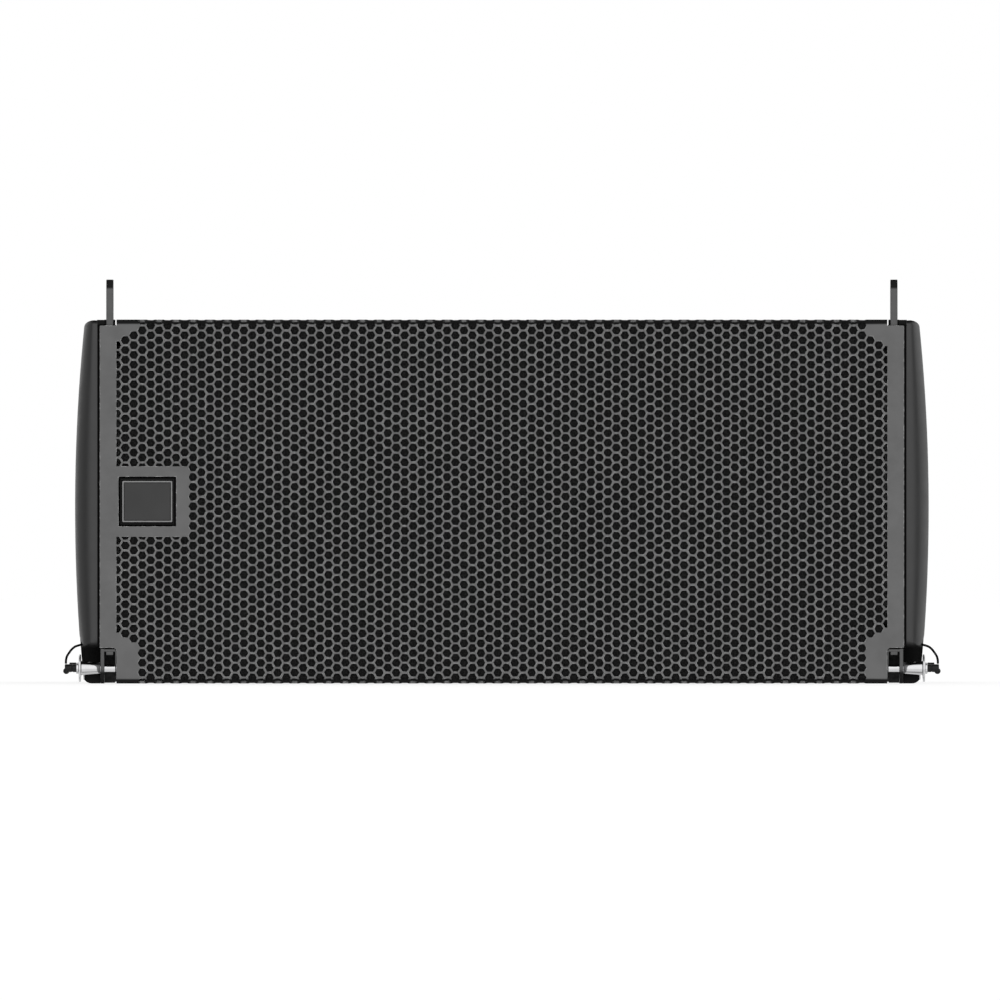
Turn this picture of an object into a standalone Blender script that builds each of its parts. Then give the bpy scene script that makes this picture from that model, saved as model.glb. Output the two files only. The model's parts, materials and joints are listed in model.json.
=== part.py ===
"""Line array speaker: a dual 10-inch wedge cabinet with end caps and four-point rigging.

Metres, +Z up. The front faces -Y and the origin is at the middle of the base.
"""

import math

import bmesh
import bpy
from mathutils import Matrix, Vector

# Driving sizes of the whole object
HEIGHT = 0.3094
DEPTH = 0.440
FACE_HALF = 0.3418
CAP_HALF = 0.3637
WEDGE = math.radians(5.0)
GAP = 0.0003
SMOOTH_ANGLE = math.radians(35.0)

FRONT = -DEPTH / 2
REAR = DEPTH / 2
MID_Z = HEIGHT / 2

# Wooden cabinet
WALL = 0.015
CAB_HALF = 0.324
CAB_FRONT = -0.198
CAB_REAR = 0.212
CAB_DROP = 0.0034
BAFFLE_FRONT = -0.184
BAFFLE_THICK = 0.018

# Grille sheet
SHEET = 0.0015
FOLD_RADIUS = 0.005
# How far the corner is drawn above the crown of its arc
FOLD_CROWN = 0.00045
FLANGE_BACK = -0.196
NOTCH_TOP_X = 0.3276
NOTCH_TOP_Z = 0.3043
NOTCH_LOW_X = 0.3276
NOTCH_LOW_Z = 0.0304

# Foam behind the grille
FOAM_THICK = 0.0045
FOAM_BACK = -0.1985
FOAM_HALF = 0.3238

# Badge in the solid patch of the grille
BADGE_X = -0.3014
BADGE_SIZE = (0.0484, 0.0417)
BADGE_RIM = (0.0428, 0.0353)

# Woofers and waveguide
WOOFER_X = 0.176
CUTOUT_RADIUS = 0.1165
HORN_CUTOUT = (0.040, 0.118)
DRIVER_OFFSET = 0.052

# Rigging band between the cabinet and the end cap, as distances from the middle plane
PAD_IN = 0.3243
CHEEK_IN = 0.3279
CHEEK_LOW = 0.0050
HEEL_IN = 0.3291
SLOT_IN = 0.3287
SLOT_OUT = 0.3380
PLATE_OUT = 0.3411
LINK_MID = (SLOT_IN + SLOT_OUT) / 2
LINK_THICK = 0.006
BOLT_RADIUS = 0.004
BOLT_CLEAR = 0.0003

# Front links and pins
LINK_PIVOT = (-0.200, 0.283)
LINK_HALF = 0.0175
LINK_TOP = 0.3434
LINK_CORNER = 0.0095
LINK_HOLE_FROM_TIP = 0.0185
PIN_Y = -0.2060
PIN_Z = 0.0130
PIN_SHAFT = 0.00315
PIN_TIP = 0.3180
PIN_HOLE = 0.0036

# Rear links and pins
REAR_PIVOT = (0.193, 0.243)
REAR_LINK_HALF = 0.013
REAR_LINK_LENGTH = 0.055
REAR_PIN_Y = 0.196
REAR_PIN_Z = 0.013
FOOT_HEIGHT = 0.006

# End caps
CAP_IN = 0.3415
CAP_FRONT = -0.219
CAP_REAR = 0.205
CAP_FACE_IN = 0.3436
CAP_TAB_IN = 0.3370
CAP_WIDEST_Z = 0.150
# Pin pocket: its roof lifts towards the outside, as (distance from the middle plane, lift)
POCKET_FLARE = (
    (0.3380, 0.0),
    (0.3495, 0.0),
    (0.3520, 0.0003),
    (0.3538, 0.0008),
    (0.3552, 0.0014),
    (0.3560, 0.0020),
    (0.3600, 0.0060),
)
LIP_FRONT = -0.1975
LIP_TOP = 0.0072
LIP_OUT = 0.3552
HANDLE_HALF = 0.072
HANDLE_LOW = 0.098
HANDLE_HIGH = 0.188

COLLECTION = "line_array_speaker"


# Scene, materials and small helpers


def clear_scene():
    for item in list(bpy.data.objects):
        bpy.data.objects.remove(item, do_unlink=True)


def new_collection(name, hidden=False):
    group = bpy.data.collections.new(name)
    bpy.context.scene.collection.children.link(group)
    group.hide_render = hidden
    return group


def material(name, color, roughness, metallic=0.0):
    found = bpy.data.materials.get(name)
    if found:
        return found
    made = bpy.data.materials.new(name)
    made.use_nodes = True
    shader = made.node_tree.nodes["Principled BSDF"]
    shader.inputs["Base Color"].default_value = (*color, 1.0)
    shader.inputs["Roughness"].default_value = roughness
    shader.inputs["Metallic"].default_value = metallic
    made.diffuse_color = (*color, 1.0)
    return made


def powder_coat():
    return material("powder_coated_steel", (0.13, 0.13, 0.13), 0.5, 0.3)


def cabinet_paint():
    return material("cabinet_paint", (0.03, 0.03, 0.03), 0.7)


def cap_plastic():
    return material("cap_plastic", (0.05, 0.05, 0.05), 0.45)


def black_rubber():
    return material("black_rubber", (0.02, 0.02, 0.02), 0.8)


def chrome():
    return material("chrome", (0.8, 0.8, 0.8), 0.15, 1.0)


def zinc_steel():
    return material("zinc_steel", (0.55, 0.55, 0.56), 0.35, 1.0)


def add_object(name, mesh, finish=None):
    made = bpy.data.objects.new(name, mesh)
    parts.objects.link(made)
    if finish:
        mesh.materials.append(finish)
    return made


def smooth(made):
    """Round faces shaded smooth, with sharp edges kept."""
    made.data.shade_smooth()
    made.data.set_sharp_from_angle(angle=SMOOTH_ANGLE)
    return made


def settled(made):
    """The object with its modifiers made part of its mesh."""
    bpy.context.view_layer.update()
    graph = bpy.context.evaluated_depsgraph_get()
    mesh = bpy.data.meshes.new_from_object(made.evaluated_get(graph))
    made.modifiers.clear()
    made.data = mesh
    return made


def centred_on(made, point):
    """The same shape with its origin moved to a point on its joint's axis."""
    bpy.context.view_layer.update()
    shift = Matrix.Translation(point)
    made.data.transform(shift.inverted() @ made.matrix_world)
    made.matrix_world = shift
    return made


def box(name, low, high, finish=None, bevel=0.0):
    """A box between two corners, given in any order."""
    low, high = Vector(low), Vector(high)
    size = [abs(b - a) for a, b in zip(low, high)]
    work = bmesh.new()
    bmesh.ops.create_cube(work, size=1.0, matrix=Matrix.Diagonal((*size, 1.0)))
    mesh = bpy.data.meshes.new(name)
    work.to_mesh(mesh)
    work.free()
    made = add_object(name, mesh, finish)
    made.location = (low + high) / 2
    if bevel:
        edge = made.modifiers.new("edges", "BEVEL")
        edge.width = bevel
        edge.segments = 2
    return made


def rounded(corners, steps=3):
    """Outline points from corners (u, v, radius): each corner with a radius becomes an arc."""
    points = []
    count = len(corners)
    for index, (u, v, radius) in enumerate(corners):
        here = Vector((u, v))
        if radius == 0:
            points.append((u, v))
            continue
        back = (Vector(corners[index - 1][:2]) - here).normalized()
        ahead = (Vector(corners[(index + 1) % count][:2]) - here).normalized()
        half = back.angle(ahead) / 2
        center = here + (back + ahead).normalized() * (radius / math.sin(half))
        first = here + back * (radius / math.tan(half)) - center
        last = here + ahead * (radius / math.tan(half)) - center
        turn = first.angle_signed(last)
        for step in range(steps + 1):
            spoke = first.copy()
            spoke.rotate(Matrix.Rotation(-turn * step / steps, 2))
            points.append(tuple(center + spoke))
    return points


def rounded_box(half_u, low_v, high_v, radius, steps=3):
    """Outline of a rectangle with round corners, centred on u = 0."""
    corners = [
        (-half_u, low_v, radius),
        (half_u, low_v, radius),
        (half_u, high_v, radius),
        (-half_u, high_v, radius),
    ]
    return rounded(corners, steps)


def circle(u, v, radius, steps=24):
    turns = [2 * math.pi * step / steps for step in range(steps)]
    return [(u + radius * math.cos(a), v + radius * math.sin(a)) for a in turns]


AXES = {
    "X": Matrix(((0, 0, 1), (1, 0, 0), (0, 1, 0))),
    "Y": Matrix(((1, 0, 0), (0, 0, -1), (0, 1, 0))),
    "Z": Matrix.Identity(3),
}


def plate(name, axis, outlines, start, end, finish=None):
    """Flat outlines, the first outer and the rest holes, given thickness along a world axis."""
    flat = bpy.data.curves.new(name, "CURVE")
    flat.dimensions = "2D"
    flat.fill_mode = "BOTH"
    flat.extrude = abs(end - start) / 2
    for outline in outlines:
        spline = flat.splines.new("POLY")
        spline.points.add(len(outline) - 1)
        spline.use_cyclic_u = True
        for point, (u, v) in zip(spline.points, outline):
            point.co = (u, v, 0.0, 1.0)
    drawn = bpy.data.objects.new(name, flat)
    parts.objects.link(drawn)
    place = Vector()
    place["XYZ".index(axis)] = (start + end) / 2
    drawn.matrix_world = Matrix.Translation(place) @ AXES[axis].to_4x4()
    return solid_from_curve(drawn, finish)


def solid_from_curve(drawn, finish=None):
    """The curve object as a mesh object with its caps welded on, in the same place."""
    bpy.context.view_layer.update()
    name = drawn.name
    placed = drawn.matrix_world.copy()
    graph = bpy.context.evaluated_depsgraph_get()
    mesh = bpy.data.meshes.new_from_object(drawn.evaluated_get(graph))
    bpy.data.objects.remove(drawn, do_unlink=True)
    work = bmesh.new()
    work.from_mesh(mesh)
    bmesh.ops.remove_doubles(work, verts=work.verts, dist=1e-6)
    bmesh.ops.recalc_face_normals(work, faces=work.faces)
    work.to_mesh(mesh)
    work.free()
    mesh.materials.clear()
    made = add_object(name, mesh, finish)
    made.name = name
    made.matrix_world = placed
    return made


def turned(name, profile, place, direction, finish=None, steps=24, ring=False):
    """A turned shape: profile points (radius, height), with height along direction."""
    mesh = bpy.data.meshes.new(name)
    points = [(radius, 0.0, height) for radius, height in profile]
    edges = [(index, index + 1) for index in range(len(points) - 1)]
    if ring:
        edges.append((len(points) - 1, 0))
    mesh.from_pydata(points, edges, [])
    made = add_object(name, mesh, finish)
    made.matrix_world = Matrix.Translation(place) @ Vector(direction).to_track_quat(
        "Z", "Y"
    ).to_matrix().to_4x4()
    screw = made.modifiers.new("turn", "SCREW")
    screw.steps = steps
    screw.render_steps = steps
    screw.use_merge_vertices = True
    screw.merge_threshold = 0.00005
    return smooth(settled(made))


def rod(name, start, end, radius, finish=None, steps=16):
    """A plain round bar between two points."""
    start, end = Vector(start), Vector(end)
    work = bmesh.new()
    bmesh.ops.create_cone(
        work,
        cap_ends=True,
        segments=steps,
        radius1=radius,
        radius2=radius,
        depth=(end - start).length,
    )
    mesh = bpy.data.meshes.new(name)
    work.to_mesh(mesh)
    work.free()
    made = add_object(name, mesh, finish)
    turn = (end - start).to_track_quat("Z", "Y").to_matrix().to_4x4()
    made.matrix_world = Matrix.Translation((start + end) / 2) @ turn
    return smooth(made)


def tube(name, route, radius, finish=None):
    """A round cord through the given points."""
    line = bpy.data.curves.new(name, "CURVE")
    line.dimensions = "3D"
    line.bevel_depth = radius
    line.bevel_resolution = 2
    line.use_fill_caps = True
    spline = line.splines.new("POLY")
    spline.points.add(len(route) - 1)
    for point, place in zip(spline.points, route):
        point.co = (*place, 1.0)
    drawn = bpy.data.objects.new(name, line)
    parts.objects.link(drawn)
    return smooth(solid_from_curve(drawn, finish))


def loft(name, sections, finish=None):
    """A closed body through closed sections with equal counts; each runs out along one side and
    back along the other, so that strips between the two sides close the ends."""
    work = bmesh.new()
    rings = [[work.verts.new(point) for point in section] for section in sections]
    count = len(sections[0])
    for lower, upper in zip(rings, rings[1:]):
        for index in range(count):
            after = (index + 1) % count
            work.faces.new((lower[index], lower[after], upper[after], upper[index]))
    for ring in (rings[0], rings[-1]):
        for index in range(count // 2 - 1):
            work.faces.new((ring[index], ring[index + 1], ring[-index - 2], ring[-index - 1]))
    bmesh.ops.recalc_face_normals(work, faces=work.faces)
    mesh = bpy.data.meshes.new(name)
    work.to_mesh(mesh)
    work.free()
    return add_object(name, mesh, finish)


def as_tool(tool):
    parts.objects.unlink(tool)
    tools.objects.link(tool)
    tool.hide_render = True
    tool.display_type = "WIRE"


def combine(target, operation, *others):
    for other in others:
        step = target.modifiers.new(other.name, "BOOLEAN")
        step.operation = operation
        step.solver = "EXACT"
        step.object = other
        as_tool(other)
    return target


def cut(target, *others):
    return combine(target, "DIFFERENCE", *others)


def join(target, *others):
    return combine(target, "UNION", *others)


def top_z(y, inset=0.0):
    """Height of the cabinet's sloping top at depth y."""
    return HEIGHT - CAB_DROP - (y - FRONT) * math.tan(WEDGE) - inset


def bottom_z(y, inset=0.0):
    return HEIGHT - top_z(y, inset)


def wedge(front, rear, inset):
    """Side view outline of the cabinet between two depths, with its slopes inset."""
    return [
        (front, bottom_z(front, inset)),
        (rear, bottom_z(rear, inset)),
        (rear, top_z(rear, inset)),
        (front, top_z(front, inset)),
    ]


# Cabinet


def cabinet():
    for name, height in (("top", top_z), ("bottom", bottom_z)):
        outline = [
            (CAB_FRONT, height(CAB_FRONT)),
            (CAB_REAR, height(CAB_REAR)),
            (CAB_REAR, height(CAB_REAR, WALL)),
            (CAB_FRONT, height(CAB_FRONT, WALL)),
        ]
        plate(
            f"cabinet_{name}_panel",
            "X",
            [outline],
            -CAB_HALF,
            CAB_HALF,
            cabinet_paint(),
        )
    between = WALL + GAP
    for side, sign in SIDES:
        plate(
            f"cabinet_{side}_panel",
            "X",
            [wedge(CAB_FRONT, CAB_REAR, between)],
            sign * (CAB_HALF - WALL),
            sign * CAB_HALF,
            cabinet_paint(),
        )
    inner_half = CAB_HALF - WALL - GAP
    rear_in = CAB_REAR - WALL
    panel = plate(
        "cabinet_rear_panel",
        "X",
        [wedge(rear_in, CAB_REAR, between)],
        -inner_half,
        inner_half,
        cabinet_paint(),
    )
    window = box(
        "input_window",
        (-0.080, rear_in - 0.01, MID_Z - 0.037),
        (0.080, CAB_REAR + 0.01, MID_Z + 0.037),
    )
    cut(panel, window)
    baffle_rear = BAFFLE_FRONT + BAFFLE_THICK
    low, high = bottom_z(baffle_rear, between), top_z(baffle_rear, between)
    face = [(-inner_half, low), (inner_half, low), (inner_half, high), (-inner_half, high)]
    holes = [circle(sign * WOOFER_X, MID_Z, CUTOUT_RADIUS, 28) for _, sign in SIDES]
    slot_u, slot_v = HORN_CUTOUT
    holes.append(
        [
            (-slot_u, MID_Z - slot_v),
            (slot_u, MID_Z - slot_v),
            (slot_u, MID_Z + slot_v),
            (-slot_u, MID_Z + slot_v),
        ]
    )
    plate("front_baffle", "Y", [face, *holes], BAFFLE_FRONT, baffle_rear, cabinet_paint())


# Grille, its foam and the badge


def grille():
    high_back = top_z(FLANGE_BACK) + CAB_DROP + FOLD_CROWN
    low_back = HEIGHT - high_back
    outer = rounded(
        [
            (FLANGE_BACK, low_back, 0),
            (FRONT, -FOLD_CROWN, FOLD_RADIUS),
            (FRONT, HEIGHT + FOLD_CROWN, FOLD_RADIUS),
            (FLANGE_BACK, high_back, 0),
        ]
    )
    inner = rounded(
        [
            (FLANGE_BACK, high_back - SHEET, 0),
            (FRONT + SHEET, HEIGHT + FOLD_CROWN - SHEET, FOLD_RADIUS - SHEET),
            (FRONT + SHEET, SHEET - FOLD_CROWN, FOLD_RADIUS - SHEET),
            (FLANGE_BACK, low_back + SHEET, 0),
        ]
    )
    steel = material("grille_steel", (0.13, 0.13, 0.13), 0.5, 0.3)
    sheet = plate("grille", "X", [outer + inner], -FACE_HALF, FACE_HALF, steel)
    for side, sign in SIDES:
        top = box(
            f"grille_top_notch_{side}",
            (sign * NOTCH_TOP_X, FRONT - 0.01, NOTCH_TOP_Z),
            (sign * 0.36, 0.0, HEIGHT + 0.01),
        )
        corner = rounded(
            [
                (sign * NOTCH_LOW_X, -0.01, 0),
                (sign * 0.36, -0.01, 0),
                (sign * 0.36, NOTCH_LOW_Z, 0),
                (sign * NOTCH_LOW_X, NOTCH_LOW_Z, 0.003),
            ]
        )
        low = plate(f"grille_low_notch_{side}", "Y", [corner], FRONT - 0.01, 0.0)
        cut(sheet, top, low)
    half_u, half_v = BADGE_SIZE[0] / 2 + GAP, BADGE_SIZE[1] / 2 + GAP
    window = box(
        "badge_window",
        (BADGE_X - half_u, FRONT - 0.01, MID_Z - half_v),
        (BADGE_X + half_u, FRONT + 0.01, MID_Z + half_v),
    )
    cut(sheet, window)


def foam():
    """Foam glued inside the sheet: flat behind the face and round both folds."""
    skin = SHEET + GAP
    back = FOAM_BACK
    outer = [
        (back, bottom_z(back) - CAB_DROP + skin, 0),
        (FRONT + skin, skin, FOLD_RADIUS - skin),
        (FRONT + skin, HEIGHT - skin, FOLD_RADIUS - skin),
        (back, top_z(back) + CAB_DROP - skin, 0),
    ]
    deep = skin + FOAM_THICK
    inner = [
        (back, top_z(back) + CAB_DROP - deep),
        (FRONT + deep, HEIGHT - deep),
        (FRONT + deep, deep),
        (back, bottom_z(back) - CAB_DROP + deep),
    ]
    sheet = plate(
        "grille_foam",
        "X",
        [rounded(outer) + inner],
        -FOAM_HALF,
        FOAM_HALF,
        material("open_cell_foam", (0.02, 0.02, 0.02), 0.95),
    )
    half_u, half_v = BADGE_SIZE[0] / 2 + 0.001, BADGE_SIZE[1] / 2 + 0.001
    room = box(
        "badge_room",
        (BADGE_X - half_u, FRONT, MID_Z - half_v),
        (BADGE_X + half_u, FRONT + 0.01, MID_Z + half_v),
    )
    cut(sheet, room)


def badge():
    gloss = material("badge_black", (0.01, 0.01, 0.01), 0.3)
    u, v = (size / 2 for size in BADGE_SIZE)
    rim_u, rim_v = (size / 2 for size in BADGE_RIM)
    tray = box(
        "badge_tray",
        (BADGE_X - u, FRONT, MID_Z - v),
        (BADGE_X + u, FRONT + 0.004, MID_Z + v),
        gloss,
    )
    room = box(
        "badge_tray_room",
        (BADGE_X - rim_u, FRONT - 0.01, MID_Z - rim_v),
        (BADGE_X + rim_u, FRONT + 0.0025, MID_Z + rim_v),
    )
    cut(tray, room)
    box(
        "badge_plate",
        (BADGE_X - rim_u + GAP, FRONT + 0.0008, MID_Z - rim_v + GAP),
        (BADGE_X + rim_u - GAP, FRONT + 0.0022, MID_Z + rim_v - GAP),
        material("badge_grey", (0.06, 0.06, 0.06), 0.4, 0.4),
    )


# Woofers and high-frequency section


def woofer(side, sign):
    place = (sign * WOOFER_X, BAFFLE_FRONT, MID_Z)
    ahead = (0, -1, 0)
    turned(
        f"woofer_basket_{side}",
        [
            (0.1290, 0.0080),
            (0.1290, GAP),
            (0.1155, GAP),
            (0.1100, -0.0120),
            (0.0580, -0.0900),
            (0.0580, -0.0980),
            (0.0300, -0.0980),
            (0.0300, -0.0940),
            (0.0540, -0.0940),
            (0.0540, -0.0890),
            (0.1060, -0.0110),
            (0.1120, 0.0045),
            (0.1120, 0.0080),
        ],
        place,
        ahead,
        material("basket_aluminium", (0.05, 0.05, 0.05), 0.5, 0.5),
        ring=True,
    )
    turned(
        f"woofer_magnet_{side}",
        [
            (0.0, -0.0983),
            (0.0235, -0.0983),
            (0.0235, -0.1180),
            (0.0285, -0.1180),
            (0.0285, -0.0983),
            (0.0760, -0.0983),
            (0.0780, -0.1003),
            (0.0780, -0.1310),
            (0.0760, -0.1330),
            (0.0, -0.1330),
        ],
        place,
        ahead,
        zinc_steel(),
    )
    turned(
        f"woofer_cone_{side}",
        [
            (0.0, -0.0250),
            (0.0130, -0.0265),
            (0.0230, -0.0315),
            (0.0300, -0.0395),
            (0.0600, -0.0190),
            (0.0985, 0.0030),
            (0.0985, 0.0012),
            (0.0600, -0.0208),
            (0.0265, -0.0440),
            (0.0265, -0.1080),
            (0.0250, -0.1080),
            (0.0250, -0.0400),
            (0.0200, -0.0330),
            (0.0, -0.0280),
        ],
        place,
        ahead,
        material("paper_cone", (0.04, 0.04, 0.04), 0.9),
    )
    base, middle, radius = 0.0055, 0.10525, 0.0063
    arch = [
        (middle + radius * math.cos(a), base + radius * math.sin(a))
        for a in (math.pi * step / 5 for step in range(6))
    ]
    under = [
        (middle - (radius - 0.001) * math.cos(a), base + (radius - 0.001) * math.sin(a))
        for a in (math.pi * step / 5 for step in range(6))
    ]
    turned(
        f"woofer_surround_{side}",
        (arch + under)[::-1],
        place,
        ahead,
        black_rubber(),
        ring=True,
    )
    ripple = [(0.0270 + 0.0430 * step / 5, 0.0012 * (-1) ** step) for step in range(6)]
    upper = [(radius, -0.0605 + wave) for radius, wave in ripple]
    lower = [(radius, -0.0617 + wave) for radius, wave in ripple]
    turned(
        f"woofer_spider_{side}",
        upper + lower[::-1],
        place,
        ahead,
        material("spider_cloth", (0.45, 0.28, 0.12), 0.9),
        ring=True,
    )


def tapered(name, front, rear, front_half, rear_half):
    """A block between two depths whose half width and half height differ at its two ends."""
    sections = [
        [(u * half[0], y, MID_Z + v * half[1]) for u, v in ((-1, -1), (1, -1), (1, 1), (-1, 1))]
        for y, half in ((front, front_half), (rear, rear_half))
    ]
    return loft(name, sections)


def high_frequency():
    horn = box(
        "hf_waveguide",
        (-0.0455, BAFFLE_FRONT - 0.006, MID_Z - 0.1265),
        (0.0455, BAFFLE_FRONT - GAP, MID_Z + 0.1265),
        material("horn_plastic", (0.03, 0.03, 0.03), 0.5),
    )
    throat = BAFFLE_FRONT + 0.085
    bell = tapered("horn_bell", BAFFLE_FRONT - 0.002, throat, (0.039, 0.117), (0.020, 0.110))
    mouth = tapered(
        "horn_mouth",
        BAFFLE_FRONT - 0.0065,
        throat + 0.001,
        (0.036, 0.113),
        (0.013, 0.104),
    )
    join(horn, bell)
    cut(horn, mouth)
    for name, offset in (("upper", DRIVER_OFFSET), ("lower", -DRIVER_OFFSET)):
        turned(
            f"compression_driver_{name}",
            [
                (0.0, 0.0),
                (0.0450, 0.0),
                (0.0450, -0.0200),
                (0.0380, -0.0220),
                (0.0380, -0.0480),
                (0.0340, -0.0520),
                (0.0, -0.0520),
            ],
            (0.0, throat + GAP, MID_Z + offset),
            (0, -1, 0),
            zinc_steel(),
            steps=20,
        )


# Electrics at the back


def electrics():
    plate_front = CAB_REAR + GAP
    plate_rear = plate_front + 0.0027
    face = rounded_box(0.095, MID_Z - 0.052, MID_Z + 0.052, 0.008)
    holes = [circle(x, MID_Z, 0.0128, 24) for x in (-0.035, 0.035)]
    plate("input_plate", "Y", [face, *holes], plate_front, plate_rear, powder_coat())
    flange_rear = REAR
    for name, x in (("a", -0.035), ("b", 0.035)):
        turned(
            f"input_connector_{name}",
            [
                (0.0, -0.0200),
                (0.0040, -0.0200),
                (0.0040, -0.0020),
                (0.0050, -0.0015),
                (0.0055, -0.0200),
                (0.0098, -0.0200),
                (0.0098, 0.0),
                (0.0155, 0.0),
                (0.0160, -0.0010),
                (0.0160, plate_rear + GAP - flange_rear),
                (0.0124, plate_rear + GAP - flange_rear),
                (0.0124, -0.0300),
                (0.0, -0.0300),
            ],
            (x, flange_rear, MID_Z),
            (0, 1, 0),
            material("connector_plastic", (0.02, 0.02, 0.02), 0.4),
            steps=16,
        )
    rear_in = CAB_REAR - WALL
    board = box(
        "crossover_board",
        (-0.094, rear_in - 0.050, MID_Z - 0.055),
        (0.094, rear_in - 0.0484, MID_Z + 0.055),
        material("circuit_board", (0.02, 0.10, 0.04), 0.5),
    )
    for x in (-0.087, 0.087):
        for z in (MID_Z - 0.048, MID_Z + 0.048):
            post = rod(
                f"board_post_{x > 0}_{z > MID_Z}",
                (x, rear_in - 0.049, z),
                (x, rear_in - GAP, z),
                0.004,
                steps=12,
            )
            join(board, post)
    for index, (x, z, radius) in enumerate(
        ((-0.055, -0.020, 0.022), (0.0, 0.022, 0.020), (0.055, -0.018, 0.017))
    ):
        coil = rod(
            f"coil_{index}",
            (x, rear_in - 0.049, MID_Z + z),
            (x, rear_in - 0.028, MID_Z + z),
            radius,
            steps=24,
        )
        join(board, coil)


# Rigging


def cross_hole(name, place, radius, sign, low=0.320, high=0.346):
    y, z = place
    return rod(name, (sign * low, y, z), (sign * high, y, z), radius)


def bar(name, sign, low, high, y, z):
    """A block across the rigging band: low and high are distances from the middle plane."""
    return box(name, (sign * low, y[0], z[0]), (sign * high, y[1], z[1]))


def front_rigging(side, sign):
    nose = CAP_FRONT - 0.0005
    behind = FRONT + SHEET + 0.0013
    step_z = NOTCH_LOW_Z - 0.0010

    def cheek_outline(low, step_z, top):
        """Outline of an upright plate whose lower edge is at height low."""
        return rounded(
            [
                (nose, low, 0.013),
                (-0.174, low, 0.004),
                (-0.160, 0.0075, 0),
                (-0.130, 0.0105, 0.003),
                (-0.130, 0.2960, 0.004),
                (behind, top, 0.003),
                (behind, step_z + 0.001, 0),
                (nose, step_z, 0),
            ]
        )

    frame = plate(
        f"front_rigging_{side}",
        "X",
        [cheek_outline(0.0, step_z, 0.3040)],
        sign * SLOT_OUT,
        sign * PLATE_OUT,
        powder_coat(),
    )
    cheek = plate(
        f"front_cheek_{side}",
        "X",
        [cheek_outline(CHEEK_LOW, step_z - 0.0012, 0.3052)],
        sign * CHEEK_IN,
        sign * SLOT_IN,
    )
    inner, outer = SLOT_IN - 0.0008, SLOT_OUT + 0.0008
    bridge = bar(
        f"front_bridge_{side}", sign, SLOT_IN - 0.0001, outer, (nose, -0.150), (0.0268, step_z)
    )
    tab = bar(
        f"front_tab_{side}",
        sign,
        LINK_MID - LINK_THICK / 2,
        LINK_MID + LINK_THICK / 2,
        (nose, -0.208),
        (0.0240, 0.0275),
    )
    web = bar(f"front_web_{side}", sign, inner, outer, (-0.134, -0.1305), (0.014, 0.290))
    heel_y = (-0.1812, -0.1778)
    heel = bar(f"front_heel_{side}", sign, inner, outer, heel_y, (CHEEK_LOW + 0.0003, 0.060))
    sole = bar(f"front_sole_{side}", sign, HEEL_IN, outer, heel_y, (0.0005, CHEEK_LOW + 0.001))
    doubler = bar(
        f"front_doubler_{side}", sign, PAD_IN, inner + 0.0003, (-0.190, -0.135), (0.014, 0.288)
    )
    pads = [
        bar(f"front_pad_{index}_{side}", sign, PAD_IN, SLOT_IN - 0.0008, (-0.175, -0.150), z)
        for index, z in enumerate(((0.060, 0.085), (0.235, 0.260)))
    ]
    join(frame, cheek, bridge, tab, web, heel, sole, doubler, *pads)
    pin_hole = cross_hole(f"front_pin_hole_{side}", (PIN_Y, PIN_Z), PIN_HOLE, sign)
    bolt_hole = cross_hole(
        f"front_bolt_hole_{side}", LINK_PIVOT, BOLT_RADIUS + BOLT_CLEAR, sign
    )
    cut(frame, pin_hole, bolt_hole)


def link(name, sign, pivot, half, tip, direction):
    """A link plate with a round pivot end and a corner radius at its tip; direction is (y, z)."""
    along = Vector(direction)
    across = Vector((-along.y, along.x))
    hinge = [
        Vector((math.sin(a), -math.cos(a))) for a in (math.pi * (k / 8 - 0.5) for k in range(9))
    ]
    ends = rounded(
        [(-half, 0, 0), (half, 0, 0), (half, tip, LINK_CORNER), (-half, tip, LINK_CORNER)]
    )[2:]
    outline = [Vector((half * p.x, half * p.y)) for p in hinge] + [Vector(p) for p in ends]
    pivot = Vector(pivot)
    points = [tuple(pivot + across * -p.x + along * p.y) for p in outline]
    hole = pivot + along * (tip - LINK_HOLE_FROM_TIP)
    made = plate(
        name,
        "X",
        [
            points,
            circle(pivot.x, pivot.y, BOLT_RADIUS + 2 * BOLT_CLEAR, 16),
            circle(hole.x, hole.y, PIN_HOLE, 16),
        ],
        sign * (LINK_MID - LINK_THICK / 2),
        sign * (LINK_MID + LINK_THICK / 2),
        powder_coat(),
    )
    return centred_on(smooth(made), (sign * LINK_MID, *pivot))


def pivot_bolt(name, sign, place):
    """Shoulder bolt through both cheeks: a shaft with a domed head on its outer end."""
    length = PLATE_OUT + GAP - CHEEK_IN
    turned(
        name,
        [
            (0.0, 0.0035),
            (0.0045, 0.0035),
            (0.0062, 0.0022),
            (0.0066, 0.0),
            (BOLT_RADIUS, 0.0),
            (BOLT_RADIUS, -length),
            (0.0, -length),
        ],
        (sign * (PLATE_OUT + GAP), *place),
        (sign, 0, 0),
        zinc_steel(),
        steps=16,
    )


def pin(name, sign, y, z):
    """Quick-release pin: shaft with a round tip, tapered grip, thin flange and a hollow neck."""
    grip = PLATE_OUT + GAP
    profile = [
        (PIN_SHAFT - 0.001, PIN_TIP),
        (PIN_SHAFT, PIN_TIP + 0.001),
        (PIN_SHAFT, grip),
        (0.00475, grip),
        (0.0060, 0.3577),
        (0.0117, 0.3581),
        (0.0117, 0.3597),
        (0.0048, 0.3600),
        (0.0048, 0.3619),
        (0.0038, 0.3619),
        (0.0038, 0.3530),
    ]
    outline = [(0.0, PIN_TIP), *profile, (0.0, 0.3530)]
    turned(name, outline[::-1], (0.0, y, z), (sign, 0, 0), chrome(), steps=20)


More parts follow.
